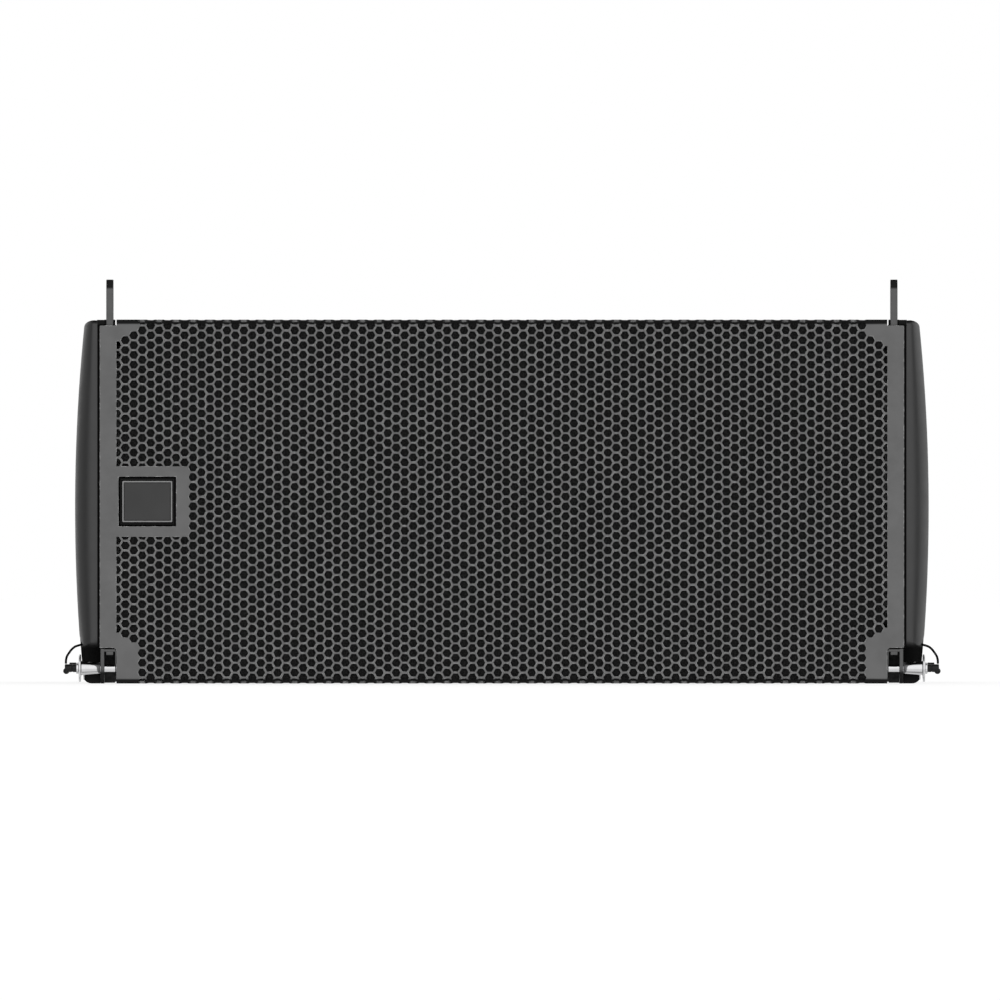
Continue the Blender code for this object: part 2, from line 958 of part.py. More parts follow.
def pin_button(name, sign, y, z, crimp):
    button = turned(
        name,
        [
            (0.0, 0.3717),
            (0.0029, 0.3717),
            (0.0034, 0.3712),
            (0.0034, 0.3565),
            (0.0, 0.3565),
        ],
        (0.0, y, z),
        (sign, 0, 0),
        material("button_black", (0.02, 0.02, 0.02), 0.4),
        steps=16,
    )
    if crimp:
        work = bmesh.new()
        bmesh.ops.create_uvsphere(work, u_segments=12, v_segments=8, radius=0.0027)
        mesh = bpy.data.meshes.new(f"{name}_crimp")
        work.to_mesh(mesh)
        work.free()
        ball = add_object(f"{name}_crimp", mesh)
        ball.location = (sign * 0.3704, y, z - 0.0024)
        join(button, ball)


def smooth_route(knots, count):
    """Evenly placed points along a smooth curve through the knots."""
    knots = [Vector(knot) for knot in knots]
    padded = [knots[0] * 2 - knots[1], *knots, knots[-1] * 2 - knots[-2]]
    dense = []
    for a, b, c, d in zip(padded, padded[1:], padded[2:], padded[3:]):
        for step in range(20):
            t = step / 20
            dense.append(
                0.5
                * (
                    2 * b
                    + (c - a) * t
                    + (2 * a - 5 * b + 4 * c - d) * t**2
                    + (3 * b - a - 3 * c + d) * t**3
                )
            )
    dense.append(knots[-1])
    travelled = [0.0]
    for first, second in zip(dense, dense[1:]):
        travelled.append(travelled[-1] + (second - first).length)
    route = []
    for index in range(count):
        goal = travelled[-1] * index / (count - 1)
        spot = max(k for k, length in enumerate(travelled) if length <= goal + 1e-12)
        spot = min(spot, len(dense) - 2)
        span = travelled[spot + 1] - travelled[spot]
        route.append(dense[spot].lerp(dense[spot + 1], (goal - travelled[spot]) / span))
    return route


# Wire rope from the anchor in the pin pocket, round behind and out to the push-button
LANYARD_RADIUS = 0.0010
LANYARD_KNOTS = (
    (0.3465, -0.1880, 0.0345),
    (0.3465, -0.1820, 0.0347),
    (0.3470, -0.1740, 0.0348),
    (0.3485, -0.1660, 0.0346),
    (0.3520, -0.1610, 0.0342),
    (0.3560, -0.1625, 0.0336),
    (0.3586, -0.1690, 0.0327),
    (0.3612, -0.1770, 0.0320),
    (0.3637, -0.1845, 0.0309),
    (0.3663, -0.1920, 0.0285),
    (0.3681, -0.1970, 0.0260),
    (0.3697, -0.2015, 0.0234),
    (0.3705, -0.2045, 0.0208),
    (0.3707, -0.2058, 0.0190),
    (0.3707, -0.2060, 0.0168),
)


def lanyard(side, sign):
    knots = [(sign * x, y, z) for x, y, z in LANYARD_KNOTS]
    cord = tube(f"lanyard_{side}", smooth_route(knots, 30), LANYARD_RADIUS, black_rubber())
    centred_on(cord, (sign * PLATE_OUT, PIN_Y, PIN_Z))
    x, y, z = LANYARD_KNOTS[0]
    anchor = rod(
        f"lanyard_anchor_{side}",
        (sign * x, y - 0.0003, z),
        (sign * x, y - 0.0075, z),
        0.0020,
        zinc_steel(),
        steps=16,
    )
    stem = box(
        f"anchor_stem_{side}",
        (sign * (x - 0.0012), y - 0.0065, z),
        (sign * (x + 0.0012), y - 0.0013, 0.0378),
    )
    join(anchor, stem)


def rear_rigging(side, sign):
    low = FOOT_HEIGHT + GAP
    outline = rounded(
        [
            (0.142, low, 0.002),
            (0.212, low, 0.012),
            (0.212, 0.2655, 0.006),
            (0.130, 0.2725, 0.004),
            (0.130, 0.0300, 0.002),
        ]
    )
    frame = plate(
        f"rear_rigging_{side}",
        "X",
        [outline],
        sign * SLOT_OUT,
        sign * PLATE_OUT,
        powder_coat(),
    )
    cheek = plate(
        f"rear_cheek_{side}",
        "X",
        [outline],
        sign * (CHEEK_IN - 0.0010),
        sign * SLOT_IN,
    )
    inner, outer = SLOT_IN - 0.0008, SLOT_OUT + 0.0008
    web = bar(f"rear_web_{side}", sign, inner, outer, (0.1305, 0.134), (0.032, 0.222))
    stop = bar(f"rear_stop_{side}", sign, inner, outer, (0.143, 0.147), (0.2252, 0.2292))
    pads = [
        bar(f"rear_pad_{index}_{side}", sign, PAD_IN, inner, (0.150, 0.175), z)
        for index, z in enumerate(((0.060, 0.085), (0.200, 0.222)))
    ]
    join(frame, cheek, web, stop, *pads)
    pin_hole = cross_hole(f"rear_pin_hole_{side}", (REAR_PIN_Y, REAR_PIN_Z), PIN_HOLE, sign)
    bolt_hole = cross_hole(
        f"rear_bolt_hole_{side}", REAR_PIVOT, BOLT_RADIUS + BOLT_CLEAR, sign
    )
    cut(frame, pin_hole, bolt_hole)


def rear_foot(side, sign):
    box(
        f"rear_foot_{side}",
        (sign * HEEL_IN, 0.1445, 0.0),
        (sign * PLATE_OUT, 0.1700, FOOT_HEIGHT),
        black_rubber(),
        bevel=0.001,
    )


# End caps with their handles


def cap_half(z):
    """Half width over the end cap's side at height z: a shallow arc."""
    return CAP_HALF - 0.008 * ((z - CAP_WIDEST_Z) / 0.155) ** 2


def end_cap(side, sign):
    turn = [math.pi / 2 * step / 4 for step in range(5)]
    depths = [-0.199, -0.168, -0.080, 0.010, 0.100, 0.180]

    def section(share, corner, nose):
        """Plan outline at a share of the height, its outer side inset by corner and its front
        drawn back by nose."""

        def spot(x, y):
            y += nose * max(0.0, (-0.168 - y) / (-0.168 - CAP_FRONT))
            low = 0.0 if y < -0.17 else bottom_z(y) - 0.003
            high = top_z(y) + (CAB_DROP if y < -0.17 else 0.003)
            return (sign * x, y, low + (high - low) * share)

        def reach(y):
            low, high = bottom_z(y) - 0.003, top_z(y) + 0.003
            bulge = 0.0008 * ((y + 0.007) / 0.212) ** 2
            return cap_half(low + (high - low) * share) - bulge - corner

        points = [spot(0.3465, CAP_FRONT)]
        front_x = reach(depths[0]) - 0.3465
        points += [
            spot(0.3465 + front_x * math.sin(a), depths[0] + 0.020 * -math.cos(a)) for a in turn[1:]
        ]
        points += [spot(reach(y), y) for y in depths[1:]]
        rear_x = reach(depths[-1]) - 0.3465
        points += [
            spot(0.3465 + rear_x * math.cos(a), depths[-1] + 0.025 * math.sin(a)) for a in turn[1:]
        ]
        return points + [spot(CAP_IN, point[1]) for point in reversed(points)]

    def edge(rise, corner, nose):
        """Levels round the lower edge: share of the height, inset of the side and of the front."""
        turns = [math.pi / 2 * step / 3 for step in range(3, -1, -1)]
        return [
            (rise * (1 - math.sin(a)) / HEIGHT, corner * (1 - math.cos(a)), nose * (1 - math.cos(a)))
            for a in turns
        ]

    levels = edge(0.0070, 0.0065, 0.0100)
    levels += [(step / 6, 0.0, 0.0) for step in range(1, 6)]
    levels += [(1 - share, corner, nose) for share, corner, nose in edge(0.0045, 0.0045, 0.0060)[::-1]]
    cap = loft(f"end_cap_{side}", [section(*level) for level in levels], cap_plastic())
    flanges = []
    for name, height in (("top", top_z), ("bottom", bottom_z)):
        outline = [
            (-0.124, height(-0.124, -0.0025)),
            (0.124, height(0.124, -0.0025)),
            (0.124, height(0.124, 0.0025)),
            (-0.124, height(-0.124, 0.0025)),
        ]
        flanges.append(
            plate(f"cap_{name}_flange_{side}", "X", [outline], sign * 0.3245, sign * 0.3440)
        )
    tab = plate(
        f"cap_tab_{side}",
        "X",
        [[(CAP_FRONT, 0.3050), (-0.135, 0.3000), (-0.135, 0.3035), (CAP_FRONT, HEIGHT - 0.0002)]],
        sign * CAP_TAB_IN,
        sign * 0.3440,
    )
    hollow = plate(
        f"cap_hollow_{side}",
        "X",
        [
            [
                (-0.2085, 0.050),
                (-0.150, 0.050),
                (0.201, bottom_z(0.201, 0.008)),
                (0.201, top_z(0.201, 0.008)),
                (-0.2085, top_z(-0.2085, 0.010)),
            ]
        ],
        sign * 0.3400,
        sign * 0.3500,
    )
    slit = box(
        f"cap_slit_{side}",
        (sign * 0.3400, FRONT - 0.01, -0.01),
        (sign * CAP_FACE_IN, -0.2155, 0.3046),
    )
    roof = [
        [
            (sign * x, -0.235, -0.0040),
            (sign * x, LIP_FRONT, -0.0040),
            (sign * x, LIP_FRONT, LIP_TOP),
            (sign * x, -0.150, LIP_TOP),
            (sign * x, -0.150, 0.0420 + lift),
            (sign * x, -0.182, 0.0420 + lift),
            (sign * x, -0.219, 0.0306 + lift),
            (sign * x, -0.235, 0.0306 + lift),
        ]
        for x, lift in POCKET_FLARE
    ]
    pocket = loft(f"cap_pocket_{side}", roof)
    toe = box(
        f"cap_toe_{side}", (sign * LIP_OUT, -0.235, -0.004), (sign * 0.38, -0.145, LIP_TOP + 0.0005)
    )
    window = plate(
        f"cap_window_{side}",
        "X",
        [rounded_box(HANDLE_HALF + 0.0005, HANDLE_LOW - 0.0005, HANDLE_HIGH + 0.0005, 0.018)],
        sign * 0.3380,
        sign * 0.3800,
    )
    join(cap, tab, *flanges)
    cut(cap, hollow, slit, pocket, toe, window)


def handle(side, sign):
    plastic = material("handle_plastic", (0.025, 0.025, 0.025), 0.6)
    low, high, wall = HANDLE_LOW, HANDLE_HIGH, 0.0025
    outer = rounded_box(HANDLE_HALF, low, high, 0.0175)
    inner = rounded_box(HANDLE_HALF - wall, low + wall, high - wall, 0.015)
    cup = plate(
        f"handle_cup_{side}", "X", [outer, inner], sign * 0.3290, sign * 0.3620, plastic
    )
    back = plate(f"cup_back_{side}", "X", [outer], sign * 0.3270, sign * 0.3295)
    join(cup, back)
    top = high - wall - GAP
    grip = rounded(
        [
            (sign * 0.3510, top, 0),
            (sign * 0.3510, top - 0.020, 0.005),
            (sign * 0.3612, top - 0.020, 0.005),
            (sign * 0.3612, top, 0),
        ]
    )
    plate(f"side_grip_{side}", "Y", [grip], -0.052, 0.052, black_rubber())


SIDES = (("left", -1), ("right", 1))

clear_scene()
parts = new_collection(COLLECTION)
tools = new_collection("cutters", hidden=True)

cabinet()
grille()
foam()
badge()
high_frequency()
electrics()
for side_name, side_sign in SIDES:
    woofer(side_name, side_sign)
    front_rigging(side_name, side_sign)
    link(
        f"front_link_{side_name}",
        side_sign,
        LINK_PIVOT,
        LINK_HALF,
        LINK_TOP - LINK_PIVOT[1],
        (0, 1),
    )
    pivot_bolt(f"front_link_bolt_{side_name}", side_sign, LINK_PIVOT)
    pin(f"front_pin_{side_name}", side_sign, PIN_Y, PIN_Z)
    pin_button(f"front_pin_button_{side_name}", side_sign, PIN_Y, PIN_Z, crimp=True)
    lanyard(side_name, side_sign)
    rear_rigging(side_name, side_sign)
    link(
        f"rear_link_{side_name}",
        side_sign,
        REAR_PIVOT,
        REAR_LINK_HALF,
        REAR_LINK_LENGTH,
        (-1, 0),
    )
    pivot_bolt(f"rear_link_bolt_{side_name}", side_sign, REAR_PIVOT)
    pin(f"rear_pin_{side_name}", side_sign, REAR_PIN_Y, REAR_PIN_Z)
    pin_button(f"rear_pin_button_{side_name}", side_sign, REAR_PIN_Y, REAR_PIN_Z, crimp=False)
    rear_foot(side_name, side_sign)
    end_cap(side_name, side_sign)
    handle(side_name, side_sign)
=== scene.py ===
"""Line array speaker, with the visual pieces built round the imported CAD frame.

Metres, +Z up; the front faces -Y and the origin is at the middle of the base.
"""

import json
from math import cos, pi, radians, sin, sqrt, tan

import bmesh
import bpy
from mathutils import Matrix, Vector, geometry


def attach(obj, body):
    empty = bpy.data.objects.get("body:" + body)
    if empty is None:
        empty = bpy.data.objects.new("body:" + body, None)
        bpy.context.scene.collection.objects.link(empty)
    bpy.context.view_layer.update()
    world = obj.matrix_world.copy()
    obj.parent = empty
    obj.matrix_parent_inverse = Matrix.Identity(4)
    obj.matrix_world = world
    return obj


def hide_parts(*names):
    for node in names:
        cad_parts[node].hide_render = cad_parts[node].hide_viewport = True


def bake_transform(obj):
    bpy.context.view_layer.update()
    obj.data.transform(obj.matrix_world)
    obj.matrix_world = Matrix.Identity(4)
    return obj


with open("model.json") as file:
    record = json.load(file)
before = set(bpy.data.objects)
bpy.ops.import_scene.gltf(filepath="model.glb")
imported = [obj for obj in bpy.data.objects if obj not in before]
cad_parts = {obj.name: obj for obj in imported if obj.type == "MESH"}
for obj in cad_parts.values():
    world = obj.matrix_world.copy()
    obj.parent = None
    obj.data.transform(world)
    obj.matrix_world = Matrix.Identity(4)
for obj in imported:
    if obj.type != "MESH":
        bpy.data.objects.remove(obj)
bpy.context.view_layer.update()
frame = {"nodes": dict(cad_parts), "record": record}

SIDES = (("left", -1), ("right", 1))

# Whole object
HEIGHT = 0.3094
FRONT = -0.22
REAR = 0.22
MID_Z = HEIGHT / 2
SLOPE = tan(radians(5.0))
CAB_DROP = 0.0034
GAP = 0.0003

# Grille sheet
FACE_HALF = 0.3418
SHEET = 0.0015
FOLD_RADIUS = 0.005
FOLD_TURN = radians(95.0)
FOLD_START = MID_Z - FOLD_RADIUS
FLANGE_BACK = -0.196
NOTCH_X = 0.3276
NOTCH_TOP_Z = 0.3043
NOTCH_LOW_Z = 0.0304
FOAM_THICK = 0.0045
FOAM_BACK = -0.1985
FOAM_HALF = 0.3238

# Hexagonal holes: pitch, width over the flats, columns
PITCH = 0.00831
HOLE = 0.0068
COLUMNS = 92
FIRST_COLUMN = -0.3273
FIELD_HALF = 0.3277

# Badge
BADGE_X = -0.3014
BADGE_SIZE = (0.0484, 0.0417)
BADGE_RIM = (0.0428, 0.0353)
PATCH_X = -0.2666
PATCH_HALF = 0.0299

# Rigging band, as distances from the middle plane
PAD_IN = 0.3243
CHEEK_IN = 0.3279
CHEEK_LOW = 0.005
HEEL_IN = 0.3291
SLOT_IN = 0.3287
SLOT_OUT = 0.338
PLATE_OUT = 0.3411
LINK_MID = (SLOT_IN + SLOT_OUT) / 2
LINK_THICK = 0.006
BOLT_RADIUS = 0.004
BOLT_CLEAR = 0.0003
LINK_PIVOT = (-0.2, 0.283)
LINK_HALF = 0.0175
LINK_TOP = 0.3434
PIN_Y = -0.206
PIN_Z = 0.013
PIN_SHAFT = 0.00315
PIN_TIP = 0.318
PIN_HOLE = 0.0036
REAR_PIVOT = (0.193, 0.243)
REAR_LINK_HALF = 0.013
REAR_LINK_LENGTH = 0.055
REAR_PIN_Y = 0.196
REAR_PIN_Z = 0.013
FOOT_HEIGHT = 0.006

# End caps and handles
CAP_HALF = 0.3637
CAP_IN = 0.3415
CAP_FRONT = -0.219
CAP_FACE_IN = 0.3436
CAP_TAB_IN = 0.337
CAP_WIDEST_Z = 0.15
# Pin pocket: its roof lifts towards the outside, as (distance from the middle plane, lift)
POCKET_FLARE = (
    (0.338, 0.0), (0.3495, 0.0), (0.352, 0.0003), (0.3538, 0.0008), (0.3552, 0.0014), (0.356, 0.002),
    (0.36, 0.006),
)
LIP_FRONT = -0.1975
LIP_TOP = 0.0072
LIP_OUT = 0.3552
HANDLE_HALF = 0.072
HANDLE_LOW = 0.098
HANDLE_HIGH = 0.188

# Studio: width of the frame at the front, then the surround's brightness: by angle away from
# the front in degrees, and by the sine of the height
FRAME_WIDTH = 0.85
SURROUND = (
    (-180, 0.85), (-145, 0.85), (-125, 0.5), (-85, 0.45), (-72, 0.28), (-58, 0.25), (-28, 1.0), (28, 1.0),
    (58, 0.25), (72, 0.35), (84, 0.92), (125, 0.92), (145, 0.6), (180, 0.85),
)
UPWARD = ((-1.0, 0.75), (-0.3, 0.75), (-0.1, 1.0), (0.8, 1.0), (0.92, 0.3), (1.0, 0.3))

# Woofers
WOOFER_X = 0.176
BAFFLE_FRONT = -0.184
CAB_REAR = 0.212


def top_z(y, inset=0.0):
    """Height of the cabinet's sloping top at depth y."""
    return HEIGHT - CAB_DROP - (y - FRONT) * SLOPE - inset


def bottom_z(y, inset=0.0):
    return HEIGHT - top_z(y, inset)


# Materials


def add_node(tree, kind, inputs, output, **settings):
    """Adds a node, sets or links its inputs, and returns one of its outputs."""
    made = tree.nodes.new(kind)
    for key, value in settings.items():
        setattr(made, key, value)
    for socket, value in inputs.items():
        if isinstance(value, bpy.types.NodeSocket):
            tree.links.new(value, made.inputs[socket])
        else:
            made.inputs[socket].default_value = value
    return made.outputs[output]


class Look:
    """A procedural material: helpers that add nodes to one Principled shader."""

    def __init__(self, name, color, roughness, metallic=0.0, specular=0.5):
        self.made = bpy.data.materials.new(name)
        self.made.use_nodes = True
        self.made.diffuse_color = (*color, 1.0)
        self.color = color
        self.roughness = roughness
        self.shader = self.made.node_tree.nodes["Principled BSDF"].inputs
        values = {"Base Color": (*color, 1.0), "Roughness": roughness, "Metallic": metallic}
        for socket, value in {**values, "Specular IOR Level": specular}.items():
            self.shader[socket].default_value = value
        self.place = self.node("ShaderNodeTexCoord", {}, "Object")
        self.normal = None
        self.paint = None

    def node(self, kind, inputs, output, **settings):
        return add_node(self.made.node_tree, kind, inputs, output, **settings)

    def feed(self, socket, output):
        """Links an output to one of the shader's sockets."""
        self.made.node_tree.links.new(output, self.shader[socket])
        return self

    def noise(self, scale, detail=3.0, stretch=None):
        place = self.place
        if stretch:
            place = self.node("ShaderNodeMapping", {"Vector": place, "Scale": stretch}, "Vector")
        return self.node("ShaderNodeTexNoise", {"Vector": place, "Scale": scale, "Detail": detail}, "Fac")

    def cells(self, scale, feature="F1"):
        inputs = {"Vector": self.place, "Scale": scale}
        return self.node("ShaderNodeTexVoronoi", inputs, "Distance", feature=feature)

    def ranged(self, value, low, high, to_low=0.0, to_high=1.0):
        ends = {"From Min": low, "From Max": high, "To Min": to_low, "To Max": to_high}
        return self.node("ShaderNodeMapRange", {"Value": value, **ends}, "Result")

    def worked(self, operation, *values):
        return self.node("ShaderNodeMath", dict(enumerate(values)), 0, operation=operation)

    def distance(self, vector, axis):
        """How far a vector reaches along an axis, either way."""
        return self.worked("ABSOLUTE", self.node("ShaderNodeSeparateXYZ", {0: vector}, axis))

    def mixed(self, mask, *colors):
        """A colour between two, each a colour or the output of an earlier node."""
        first, second = ((*color, 1.0) if isinstance(color, tuple) else color for color in colors)
        return self.node("ShaderNodeMix", {"Factor": mask, 6: first, 7: second}, 2, data_type="RGBA")

    def paint_over(self, mask, color):
        self.paint = self.mixed(mask, self.paint or self.color, color)
        return self.feed("Base Color", self.paint)

    def tone(self, spread, scale, detail=4.0):
        """Uneven colour: darker and lighter by a share of the colour itself."""
        dark = tuple(c * (1 - spread) for c in self.color)
        light = tuple(min(1.0, c * (1 + spread)) for c in self.color)
        self.paint = self.mixed(self.ranged(self.noise(scale, detail), 0.3, 0.7), dark, light)
        return self.feed("Base Color", self.paint)

    def gloss(self, spread, scale, stretch=None):
        low, high = self.roughness - spread, self.roughness + spread
        return self.feed("Roughness", self.ranged(self.noise(scale, 4.0, stretch), 0.3, 0.7, low, high))

    def bump(self, height, depth, strength=1.0):
        inputs = {"Height": height, "Distance": depth, "Strength": strength}
        if self.normal:
            inputs["Normal"] = self.normal
        self.normal = self.node("ShaderNodeBump", inputs, "Normal")
        return self.feed("Normal", self.normal)

    def turned_up(self, low, high):
        """Mask of the surfaces that turn up or down: from low to high of the normal's Z."""
        own = self.node("ShaderNodeNewGeometry", {}, "Normal")
        return self.ranged(self.distance(own, "Z"), low, high)

    def painted_shade(self, mask, shade, metallic, specular):
        """Painted shade: a dark colour without sheen under a mask; metallic and specular hold outside it.
        """
        self.feed("Metallic", self.ranged(mask, 0.0, 1.0, metallic, 0.0))
        self.feed("Specular IOR Level", self.ranged(mask, 0.0, 1.0, specular, 0.0))
        return self.paint_over(mask, (shade, shade, shade))

    def edges(self, radius, color, amount=0.8, scale=260.0):
        """Lighter edges, for worn coat and, on the grille, a painted highlight: where a rounded normal
        leaves the surface's own, broken up by noise.
        """
        bevel = self.node("ShaderNodeBevel", {"Radius": radius}, "Normal", samples=4)
        own = self.node("ShaderNodeNewGeometry", {}, "Normal")
        turn = self.node("ShaderNodeVectorMath", {0: bevel, 1: own}, "Value", operation="DOT_PRODUCT")
        patchy = self.ranged(self.noise(scale, 5.0), 0.46, 0.62, 0.0, amount)
        return self.paint_over(self.worked("MULTIPLY", self.ranged(turn, 0.97, 0.8), patchy), color)


def powder_coat(name, shade, edges, high, turned_shade):
    """Fine black coat on steel: lighter edges, and painted shade, darker without sheen, where the surface
    turns up or down.
    """
    look = Look(name, (shade, shade, shade), 0.45, 0.8).tone(0.05, 35.0).gloss(0.05, 120.0)
    look.bump(look.noise(900.0, 2.0), 0.00004, 0.5).bump(look.noise(3800.0, 2.0), 0.00001, 0.4)
    look.edges(*edges)
    return look.painted_shade(look.turned_up(0.12, high), turned_shade, 0.8, 0.5)


# Simple finishes: slot, material, colour, roughness, metallic, specular, tone, gloss, and the grain
# as a pattern, its depth and its strength
FINE = 0.00001
FINISHES = (
    ("badge_black", "badge_black_plastic", (0.005,) * 3, 0.28, 0.0, 0.2, (0.15, 60), (0.05, 300),
     ("noise", 2200, 2), FINE, 0.3),
    ("badge_grey", "badge_brushed_plate", (0.05,) * 3, 0.38, 0.35, 0.5, (0.08, 40),
     (0.06, 700, (1, 1, 18)), ("noise", 700, 2, (1, 1, 25)), FINE, 0.4),
    ("horn_plastic", "horn_plastic", (0.03,) * 3, 0.5, 0.0, 0.5, (0.1, 30), (0.05, 200),
     ("noise", 1800, 2), 0.00002, 0.4),
    ("connector_plastic", "connector_plastic", (0.018, 0.018, 0.019), 0.35, 0.0, 0.5, (0.12, 80),
     (0.05, 300), ("noise", 3000, 2), FINE, 0.5),
    ("circuit_board", "circuit_board_laminate", (0.015, 0.085, 0.035), 0.35, 0.0, 0.5, (0.25, 220),
     (0.08, 500), ("cells", 380, "DISTANCE_TO_EDGE"), 0.00004, 0.5),
    ("handle_plastic", "handle_plastic", (0.022,) * 3, 0.52, 0.0, 0.5, (0.1, 30), (0.05, 150),
     ("cells", 1500), 0.00005, 0.5),
    ("rubber", "black_rubber", (0.016,) * 3, 0.72, 0.0, 0.5, (0.2, 60), (0.08, 220),
     ("noise", 1400, 4), 0.00003, 0.6),
    ("chrome", "bright_chrome", (0.82, 0.82, 0.83), 0.1, 1.0, 0.5, (0.04, 120),
     (0.05, 500, (14, 1, 1)), ("noise", 900, 2, (30, 1, 1)), 0.000004, 0.5),
    ("button_black", "button_black_oxide", (0.008,) * 3, 0.3, 0.0, 0.3, (0.2, 200), (0.06, 700),
     ("noise", 2500, 2), FINE, 0.5),
    ("lanyard_wire", "jacketed_wire_rope", (0.003,) * 3, 0.6, 0.0, 0.1, (0.25, 400), (0.08, 900),
     ("noise", 4000, 2), FINE, 0.5),
    ("basket_metal", "basket_cast_aluminium", (0.05,) * 3, 0.5, 0.4, 0.5, (0.15, 90), (0.08, 300),
     ("noise", 700, 3), 0.00005, 0.5),
    ("paper_cone", "pressed_paper_cone", (0.035, 0.034, 0.033), 0.85, 0.0, 0.5, (0.3, 300, 6),
     (0.06, 300), ("noise", 900, 6), 0.00015, 0.7),
)


def make_looks():
    looks = {}
    for slot, name, color, rough, metal, specular, tone, gloss, grain, depth, strength in FINISHES:
        look = Look(name, color, rough, metal, specular).tone(*tone).gloss(*gloss)
        pattern = getattr(look, grain[0])(*grain[1:])
        looks[slot] = look.bump(pattern, depth, strength)

    # Grille: near-white edges, partly worn coat and partly a painted highlight along the webs
    worn_and_highlit_edges = (0.0007, (0.9, 0.9, 0.9), 1.0)
    looks["grille_steel"] = powder_coat("grille_powder_coat", 0.172, worn_and_highlit_edges, 0.35, 0.02)
    # Rigging: worn edges, and painted shade where the surface turns up or down
    worn_and_highlit_edges = (0.0006, (0.26, 0.26, 0.255), 0.5)
    looks["powder_coat"] = powder_coat("rigging_powder_coat", 0.13, worn_and_highlit_edges, 0.3, 0.022)

    paint = Look("cabinet_structure_paint", (0.04, 0.04, 0.041), 0.62).tone(0.12, 25.0).gloss(0.07, 300.0)
    paint.bump(paint.cells(520.0, "SMOOTH_F1"), 0.00022, 0.6)
    paint.bump(paint.noise(1600.0, 3.0), 0.00005, 0.5)
    looks["cabinet_paint"] = paint.edges(0.0012, (0.11, 0.1, 0.09), 0.5, 90.0)

    cap = Look("end_cap_plastic", (0.022, 0.022, 0.0225), 0.4).tone(0.05, 18.0).gloss(0.04, 90.0)
    # Painted shade on the cap: darker and without sheen below 3 cm, on the inner strip beside the gap, and
    # where the surface turns up or down
    low = cap.ranged(cap.distance(cap.place, "Z"), 0.0325, 0.0305)
    inside = cap.ranged(cap.distance(cap.place, "X"), 0.344, 0.3437)
    mask = cap.worked("MAXIMUM", cap.worked("MAXIMUM", cap.turned_up(0.3, 0.8), low), inside)
    cap.painted_shade(mask, 0.017, 0.0, 0.8).bump(cap.cells(2100.0), 0.00003, 0.35)
    looks["cap_plastic"] = cap.bump(cap.noise(5200.0, 2.0), FINE, 0.4)

    foam = Look("open_cell_foam", (0.027, 0.027, 0.027), 0.95, specular=0.2).tone(0.35, 900.0)
    foam.bump(foam.cells(1300.0), 0.0006, 1.0)
    looks["foam"] = foam.paint_over(foam.ranged(foam.cells(1300.0), 0.25, 0.7), (0.004, 0.004, 0.004))

    zinc = Look("zinc_plated_steel", (0.52, 0.52, 0.53), 0.32, 1.0).tone(0.12, 160.0).gloss(0.08, 420.0)
    zinc.paint_over(zinc.ranged(zinc.noise(90.0, 5.0), 0.52, 0.75, 0.0, 0.5), (0.5, 0.46, 0.36))
    looks["zinc_steel"] = zinc.bump(zinc.noise(1500.0, 3.0), FINE, 0.5)

    cloth = Look("resin_dipped_cloth", (0.4, 0.25, 0.1), 0.8).tone(0.2, 100.0).gloss(0.06, 400.0)
    weave = cloth.node("ShaderNodeTexBrick", {"Vector": cloth.place, "Scale": 900.0}, "Fac")
    looks["spider_cloth"] = cloth.bump(weave, 0.0001, 0.6)
    # Near-black matt looks without specular: painted shade for pieces that lie in shade deep in the slots
    # and the pin pocket
    for name, shade in (("painted_shade_black", 0.008), ("painted_slot_shade", 0.05)):
        matt = Look(f"{name}_surface", (shade, shade, shade), 0.9, specular=0.0).tone(0.3, 300.0)
        looks[name] = matt.bump(matt.noise(1500.0, 3.0), 0.00003, 0.5)
    frame_metal = Look("badge_frame_metal", (0.3, 0.3, 0.3), 0.3, 0.6)
    looks["badge_frame"] = frame_metal.tone(0.06, 300.0).gloss(0.05, 600.0)
    return looks


# Mesh helpers


def piece(made, slot, node=None, body="cabinet", look=None):
    """Gives a piece its finish, and makes it ride on a body, in place of a CAD node if it has one."""
    made.data.materials.clear()
    made.data.materials.append(looks[look or slot].made)
    if body:
        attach(made, body)
    if node:
        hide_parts(node)
    return made


def add_object(name, mesh, angle=35.0):
    mesh.name = name
    made = bpy.data.objects.new(name, mesh)
    bpy.context.scene.collection.objects.link(made)
    mesh.shade_smooth()
    mesh.set_sharp_from_angle(angle=radians(angle))
    return made


def from_bmesh(name, work, angle=35.0):
    bmesh.ops.recalc_face_normals(work, faces=work.faces)
    mesh = bpy.data.meshes.new(name)
    work.to_mesh(mesh)
    work.free()
    return add_object(name, mesh, angle)


def evaluated(made):
    """The object's mesh with its modifiers and its place applied; the object itself goes."""
    bpy.context.view_layer.update()
    graph = bpy.context.evaluated_depsgraph_get()
    mesh = bpy.data.meshes.new_from_object(made.evaluated_get(graph))
    mesh.transform(made.matrix_world)
    bpy.data.objects.remove(made, do_unlink=True)
    return mesh


def baked(made, angle=35.0):
    name = made.name
    return add_object(name, evaluated(made), angle)


def rounded(corners, steps=6):
    """Outline points from corners (u, v, radius): each corner with a radius becomes an arc."""
    points = []
    count = len(corners)
    for index, (u, v, radius) in enumerate(corners):
        here = Vector((u, v))
        if radius == 0:
            points.append((u, v))
            continue
        back = (Vector(corners[index - 1][:2]) - here).normalized()
        ahead = (Vector(corners[(index + 1) % count][:2]) - here).normalized()
        half = back.angle(ahead) / 2
        center = here + (back + ahead).normalized() * (radius / sin(half))
        first = here + back * (radius / tan(half)) - center
        last = here + ahead * (radius / tan(half)) - center
        turn = first.angle_signed(last)
        for step in range(steps + 1):
            spoke = first.copy()
            spoke.rotate(Matrix.Rotation(-turn * step / steps, 2))
            points.append(tuple(center + spoke))
    return points


